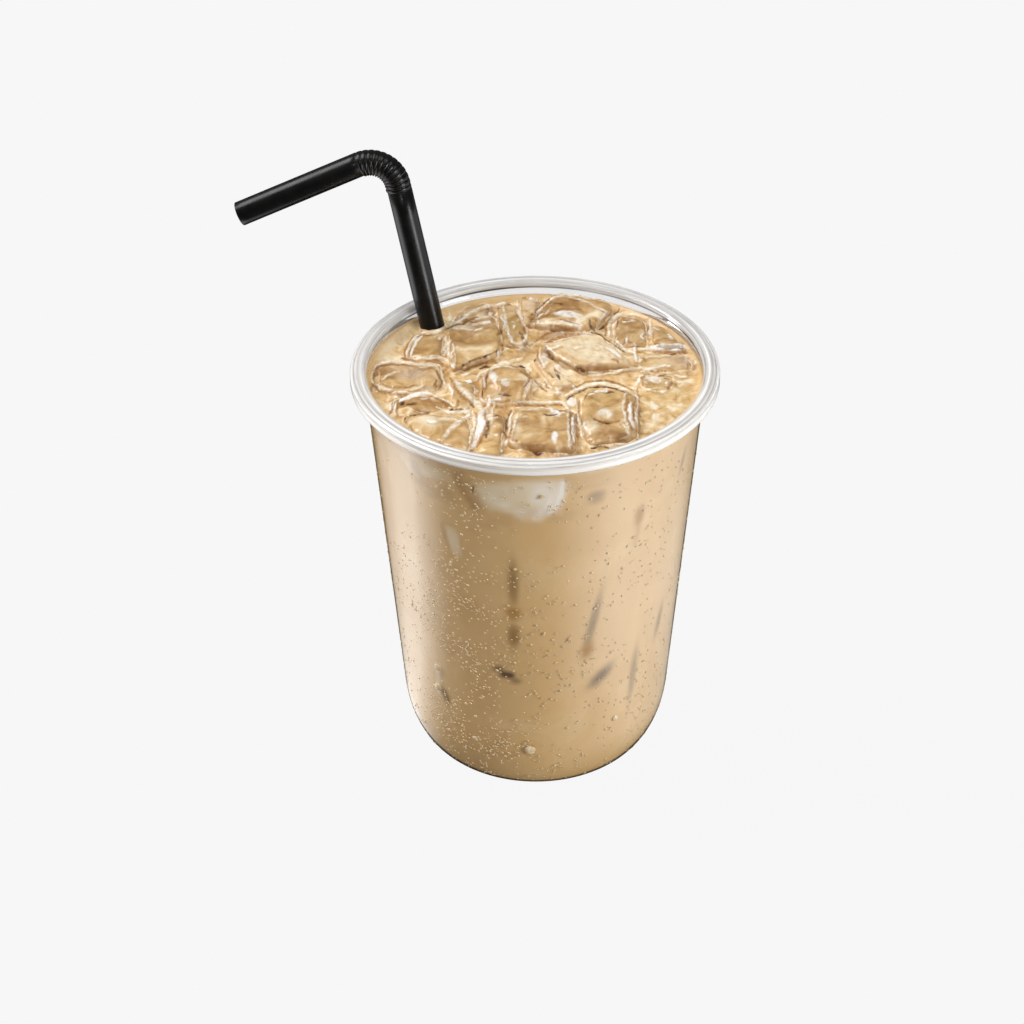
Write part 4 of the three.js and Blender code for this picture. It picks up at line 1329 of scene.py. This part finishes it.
def wall_material():
    """Clear plastic with small waves in its surface, and painted dark shade where it is seen edge on."""
    material, graph = new_material("cup_wall")
    shader = graph.add("ShaderNodeBsdfPrincipled", IOR=1.49)
    shader.inputs["Transmission Weight"].default_value = 1
    soft = graph.noise(100, 2)
    graph.put(graph.calc("MULTIPLY_ADD", soft, 0.04, 0.02), shader.inputs["Roughness"])
    graph.put(graph.ramp(soft, (0.3, 0.97), (0.7, 1)), shader.inputs["Base Color"])
    graph.put(graph.bump(graph.noise(400), 0.08, 0.0002), shader.inputs["Normal"])
    # Painted shade where the wall is seen edge on, wider towards the foot where the cup paints it so.
    edge = graph.add("ShaderNodeLayerWeight", Blend=0.5)
    dark = graph.add("ShaderNodeBsdfDiffuse", Color=(0.02, 0.018, 0.016, 1))
    facing = graph.calc("ADD", edge.outputs["Facing"], graph.attribute("edge"), clamp=True)
    share = graph.ramp(facing, (0.88, 0), (0.97, 0.8))
    surface = graph.mix(share, shader.outputs[0], dark.outputs[0])
    graph.show(open_to_lamps(graph, surface, (0.97, 0.97, 0.98)))
    return material


def drink_material():
    """Milk coffee: swirled in the body, mottled at the surface, with painted light in its hollows, painted
    highlights and shade round the ice, and the painted tones over it.
    """
    material, graph = new_material("milk_coffee")
    shader = graph.add("ShaderNodeBsdfPrincipled", IOR=1.35)
    swirl = graph.noise(55, 5, 0.8)
    body = graph.ramp(
        swirl,
        (0.3, (0.68, 0.445, 0.195)),
        (0.5, (0.715, 0.475, 0.215)),
        (0.72, (0.76, 0.53, 0.27)),
    )
    streaks = graph.noise(290, 8, 0.7)
    mottle = graph.ramp(
        streaks,
        (0.34, (0.46, 0.27, 0.105)),
        (0.43, (0.64, 0.42, 0.19)),
        (0.54, (0.76, 0.55, 0.31)),
        (0.65, (0.92, 0.81, 0.61)),
    )
    body = graph.blend(graph.attribute("surface"), body, mottle)
    # Painted light, lighter and more golden deeper in the hollows round the ice.
    body = graph.blend(graph.attribute("under"), body, (0.90, 0.66, 0.36))
    patchy = graph.noise(210, 3)
    wander = graph.calc("MULTIPLY", graph.calc("SUBTRACT", streaks, 0.5), 0.2)
    gap = graph.calc("ADD", graph.attribute("gap"), wander)
    # A painted shade ring in the drink a little way out from the ice.
    shade_ring = graph.ramp(gap, (0.09, 0), (0.16, 1), (0.22, 0.7), (0.34, 0))
    shade_ring = graph.calc("MULTIPLY", shade_ring, graph.ramp(patchy, (0.45, 0), (0.6, 0.45)))
    body = graph.blend(shade_ring, body, (0.36, 0.175, 0.06))
    # A painted highlight along the drink's edge against the ice.
    lip = graph.ramp(gap, (0, 1), (0.05, 1), (0.11, 0))
    lip = graph.calc("MULTIPLY", lip, graph.ramp(patchy, (0.35, 0.4), (0.55, 0)))
    body = graph.blend(lip, body, (0.93, 0.83, 0.66))
    # Painted highlights and shade over the surface, and painted light and shade where ice lies against the
    # wall.
    body = graph.blend(graph.attribute("cover"), body, graph.painted("tone"))
    body = graph.blend(graph.attribute("shade"), body, graph.painted("behind"))
    # Darker, reddish streaks painted behind the wall.
    dark = graph.calc("MULTIPLY", graph.attribute("dark"), 0.9, clamp=True)
    tone = graph.blend(graph.attribute("red"), (0.12, 0.062, 0.02), (0.38, 0.175, 0.01))
    body = graph.blend(dark, body, tone)
    graph.put(body, shader.inputs["Base Color"])
    graph.put(graph.ramp(swirl, (0.3, 0.18), (0.7, 0.3)), shader.inputs["Roughness"])
    graph.put(graph.bump(graph.noise(900, 3), 0.15, 0.0002), shader.inputs["Normal"])
    graph.show(shader.outputs[0])
    return material


def ice_material():
    """Clear ice under a thin film of milk, which is full where tones, painted highlights and shade among
    them, are painted on it.
    """
    material, graph = new_material("ice_wet")
    clear = graph.add("ShaderNodeBsdfPrincipled", IOR=1.31)
    clear.inputs["Transmission Weight"].default_value = 1
    cloud = graph.noise(160, 5, 1.2)
    fine = graph.noise(520, 4, 1.0)
    colour = graph.ramp(cloud, (0.3, (0.97, 0.93, 0.86)), (0.7, (1, 0.98, 0.95)))
    graph.put(colour, clear.inputs["Base Color"])
    graph.put(graph.ramp(cloud, (0.3, 0.01), (0.8, 0.06)), clear.inputs["Roughness"])
    ripple = graph.bump(graph.noise(260, 3, 0.6), 0.35, 0.0008)
    graph.put(ripple, clear.inputs["Normal"])
    film = graph.add("ShaderNodeBsdfPrincipled")
    graph.put(ripple, film.inputs["Normal"])
    graph.put(graph.ramp(fine, (0.3, 0.08), (0.7, 0.2)), film.inputs["Roughness"])
    base = graph.ramp(
        cloud,
        (0.32, (0.44, 0.24, 0.08)),
        (0.45, (0.61, 0.385, 0.165)),
        (0.58, (0.72, 0.50, 0.26)),
        (0.72, (0.90, 0.765, 0.55)),
    )
    cover = graph.attribute("cover")
    tone = graph.blend(cover, base, graph.painted("tone"))
    grain = graph.ramp(fine, (0.3, (0.93, 0.92, 0.90)), (0.7, (1.03, 1.03, 1.02)))
    tone = graph.blend(1.0, tone, grain, "MULTIPLY")
    graph.put(tone, film.inputs["Base Color"])
    milk = graph.calc("MULTIPLY", graph.attribute("milk"), 0.5)
    share = graph.calc("ADD", milk, graph.ramp(cloud, (0.35, 0.72), (0.7, 0.9)))
    share = graph.calc("MAXIMUM", share, graph.calc("MULTIPLY", cover, FILM_MOST))
    share = graph.calc("MINIMUM", share, FILM_MOST)
    lit = open_to_lamps(graph, clear.outputs[0], (0.97, 0.95, 0.92))
    graph.show(graph.mix(share, lit, film.outputs[0]))
    return material


def rim_material():
    """Moulded plastic thick enough to look milky, with painted shade along its folds and painted highlights
    along its beads.
    """
    material, graph = new_material("cup_rim")
    shader = graph.add("ShaderNodeBsdfPrincipled", IOR=1.49)
    soft = graph.noise(120, 3)
    tone = graph.ramp(soft, (0.3, (0.73, 0.72, 0.71)), (0.7, (0.86, 0.85, 0.84)))
    fold = graph.attribute("fold")
    gleam = graph.attribute("gleam")
    # Painted highlights, lighter than white, then painted shade.
    tone = graph.blend(gleam, tone, (1.22, 1.21, 1.19))
    tone = graph.blend(fold, tone, (0.05, 0.05, 0.05))
    graph.put(tone, shader.inputs["Base Color"])
    graph.put(graph.ramp(soft, (0.3, 0.1), (0.7, 0.2)), shader.inputs["Roughness"])
    graph.put(graph.bump(graph.noise(500, 3), 0.08, 0.0002), shader.inputs["Normal"])
    clear = graph.add("ShaderNodeBsdfTransparent", Color=(0.99, 0.99, 1, 1))
    share = graph.calc("MAXIMUM", graph.calc("MAXIMUM", fold, gleam), graph.attribute("milky"))
    graph.show(graph.mix(share, clear.outputs[0], shader.outputs[0]))
    return material


def drop_material():
    """Drops that take the colour of the drink behind them and shine."""
    material, graph = new_material("water_drops")
    shader = graph.add("ShaderNodeBsdfPrincipled", Roughness=0.12, IOR=1.4)
    soft = graph.noise(700, 3)
    tone = graph.ramp(soft, (0.3, (0.79, 0.60, 0.34)), (0.7, (0.90, 0.76, 0.53)))
    graph.put(tone, shader.inputs["Base Color"])
    graph.put(graph.bump(soft, 0.05, 0.0001), shader.inputs["Normal"])
    clear = graph.add("ShaderNodeBsdfTransparent", Color=(1, 0.98, 0.95, 1))
    share = graph.ramp(soft, (0.3, 0.7), (0.7, 0.95))
    graph.show(graph.mix(share, clear.outputs[0], shader.outputs[0]))
    return material


def straw_material():
    """Glossy black plastic."""
    material, graph = new_material("black_plastic")
    shader = graph.add("ShaderNodeBsdfPrincipled", IOR=1.5)
    shader.inputs["Specular IOR Level"].default_value = 0.26
    soft = graph.noise(300, 4)
    tone = graph.ramp(soft, (0.3, (0.0006, 0.0006, 0.0005)), (0.7, (0.0016, 0.0016, 0.0012)))
    graph.put(tone, shader.inputs["Base Color"])
    graph.put(graph.ramp(soft, (0.3, 0.25), (0.7, 0.33)), shader.inputs["Roughness"])
    graph.put(graph.bump(graph.noise(2500, 2), 0.1, 0.0001), shader.inputs["Normal"])
    graph.show(shader.outputs[0])
    return material


# Stage


def by_ray(graph, seen, through, mirrored, lighting):
    """The brightness that each ray meets: the eye's own, seen through, mirrored, and any other."""
    path = graph.add("ShaderNodeLightPath")
    value = lighting
    for ray, amount in (
        ("Is Glossy Ray", mirrored),
        ("Is Transmission Ray", through),
        ("Is Camera Ray", seen),
    ):
        made = graph.add("ShaderNodeMix", data_type="FLOAT")
        graph.put(path.outputs[ray], made.inputs[0])
        graph.put(value, made.inputs[2])
        graph.put(amount, made.inputs[3])
        value = made.outputs[0]
    return value


def soft_step(graph, value, start, steepness):
    """0 up to a start, then up to 1 at a steepness."""
    return graph.calc("MULTIPLY", graph.calc("SUBTRACT", value, start), steepness, clamp=True)


def cards(graph):
    """What gloss shows of the table: bright cards to the left and right, dark beyond and below."""
    place = graph.add("ShaderNodeTexCoord")
    split = graph.add("ShaderNodeSeparateXYZ")
    graph.put(place.outputs["Object"], split.inputs[0])
    x, y = split.outputs["X"], split.outputs["Y"]
    spread = graph.calc("MULTIPLY_ADD", y, 0.45, 0.036)
    behind = soft_step(graph, spread, graph.calc("ABSOLUTE", x), 120)
    behind = graph.calc("MULTIPLY", behind, soft_step(graph, y, -0.012, 90))
    squares = graph.calc("ADD", graph.calc("MULTIPLY", x, x), graph.calc("MULTIPLY", y, y))
    radius = graph.calc("SQRT", squares)
    # A painted shadow on the floor under the cup, which only the gloss shows.
    under = soft_step(graph, 0.032, radius, 500)
    lit = graph.calc("SUBTRACT", 1.0, graph.calc("MAXIMUM", behind, under))
    reach = graph.calc("MULTIPLY", radius, FADE_SCALE)
    left, right = (
        graph.ramp(reach, *[(distance * FADE_SCALE, share) for distance, share in fade])
        for fade in (LEFT_FADE, RIGHT_FADE)
    )
    side = graph.calc("MULTIPLY_ADD", x, 100, 0.5, clamp=True)
    lit = graph.calc("MULTIPLY", lit, graph.blend(side, left, right))
    turn = graph.calc("DIVIDE", graph.calc("ARCTAN2", y, x), 2 * math.pi)
    stops = [(position, value / BRIGHTEST_CARD) for position, value in CARD_RING]
    bright = graph.ramp(graph.calc("ADD", turn, 0.5), *stops)
    bright = graph.calc("MULTIPLY", bright, BRIGHTEST_CARD)
    return graph.calc("MULTIPLY_ADD", bright, lit, 0.01)


def make_floor():
    """A level floor, plain and pale to the eye, that sends warm light up into the cup."""
    side = 9e3
    corners = [(-side, -side, 0), (side, -side, 0), (side, side, 0), (-side, side, 0)]
    floor = add_piece("floor", corners, [(0, 1, 2, 3)])
    material, graph = new_material("pale_floor")
    glow = graph.add("ShaderNodeEmission")
    graph.put(by_ray(graph, 0.922, 0.93, cards(graph), 0.36), glow.inputs["Strength"])
    path = graph.add("ShaderNodeLightPath")
    tint = graph.blend(path.outputs["Is Diffuse Ray"], (1, 1, 1), (1, 0.88, 0.70))
    graph.put(tint, glow.inputs["Color"])
    matt = graph.add("ShaderNodeBsdfDiffuse", Color=(0.006, 0.006, 0.006, 1))
    both = graph.add("ShaderNodeAddShader")
    graph.put(glow.outputs[0], both.inputs[0])
    graph.put(matt.outputs[0], both.inputs[1])
    graph.show(both.outputs[0])
    floor.data.materials.append(material)


def make_world():
    """The backdrop is white to the eye, and lights the object less at the sides than from above."""
    world = bpy.data.worlds.new("studio")
    bpy.context.scene.world = world
    graph = Graph(world)
    place = graph.add("ShaderNodeTexCoord")
    split = graph.add("ShaderNodeSeparateXYZ")
    graph.put(place.outputs["Generated"], split.inputs[0])
    below, level, above = (0.5, 0.49, 0.48), (0.8, 0.785, 0.77), (1, 0.98, 0.96)
    sky = graph.ramp(split.outputs["Z"], (0, below), (0.5, level), (1, above))
    light = graph.add("ShaderNodeBackground")
    graph.put(sky, light.inputs["Color"])
    graph.put(by_ray(graph, 1, 1.0, 0.28, 0.37), light.inputs["Strength"])
    seen = graph.add("ShaderNodeBackground", Color=(0.93, 0.93, 0.93, 1))
    path = graph.add("ShaderNodeLightPath")
    surface = graph.mix(path.outputs["Is Camera Ray"], light.outputs[0], seen.outputs[0])
    graph.show(surface, "ShaderNodeOutputWorld")


def add_lamp(name, place, width, height, power, colour=(1, 1, 1)):
    """A soft rectangular lamp aimed at the middle of the cup, not seen itself."""
    lamp = bpy.data.lights.new(name, "AREA")
    lamp.shape = "RECTANGLE"
    lamp.size = width
    lamp.size_y = height
    lamp.energy = power
    lamp.color = colour
    made = bpy.data.objects.new(name, lamp)
    bpy.context.scene.collection.objects.link(made)
    made.location = place
    towards = AIM - Vector(place)
    made.rotation_euler = towards.to_track_quat("-Z", "Y").to_euler()
    made.visible_camera = False


def add_camera():
    """The photo's camera, which was rolled a little."""
    camera = bpy.data.cameras.new("camera")
    camera.lens = 113.02
    camera.sensor_width = 36
    camera.clip_start = 0.05
    camera.clip_end = 50
    made = bpy.data.objects.new("camera", camera)
    bpy.context.scene.collection.objects.link(made)
    back = CAMERA_DISTANCE * math.cos(CAMERA_ELEVATION)
    up = CAMERA_DISTANCE * math.sin(CAMERA_ELEVATION)
    place = Vector((-0.00617, -back, 0.06926 + up))
    tilt = Matrix.Rotation(math.pi / 2 - CAMERA_ELEVATION, 4, "X")
    roll = Matrix.Rotation(CAMERA_ROLL, 4, "Z")
    made.matrix_world = Matrix.Translation(place) @ tilt @ roll
    bpy.context.scene.camera = made


# Assembly

cup = make_cup()
cup.data.materials.append(wall_material())
cup.data.materials.append(rim_material())
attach(cup, "root")
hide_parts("cup")

cubes = make_ice()
wet_ice = ice_material()
for cube, form in zip(cubes, ICE):
    cube.data.materials.append(wet_ice)
    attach(cube, "root")
    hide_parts(f"ice_{form[0]:02d}")

drink = make_drink(cubes)
drink.data.materials.clear()
drink.data.materials.append(drink_material())
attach(drink, "root")
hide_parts("coffee")

straw = make_straw()
straw.data.materials.append(straw_material())
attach(straw, "root")
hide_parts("straw")

drops = make_drops()
drops.data.materials.append(drop_material())
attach(drops, "root")

make_floor()
make_world()
add_lamp("right", (0.95, -0.72, 0.25), 0.4, 0.7, 10.2, (0.99, 1, 1))
add_lamp("left_back", (-0.91, 0.24, 0.4), 0.3, 0.6, 4)
add_lamp("upper_left", (-0.72, 0.25, 1.05), 0.7, 0.5, 9.4)
add_lamp("top", (0.2, -0.1, 1.15), 0.5, 0.5, 3)
add_lamp("front", (-0.1, -0.85, 0.95), 0.15, 0.15, 1)
add_camera()

scene = bpy.context.scene
scene.view_settings.view_transform = "Standard"
scene.view_settings.look = "None"
scene.cycles.use_denoising = True
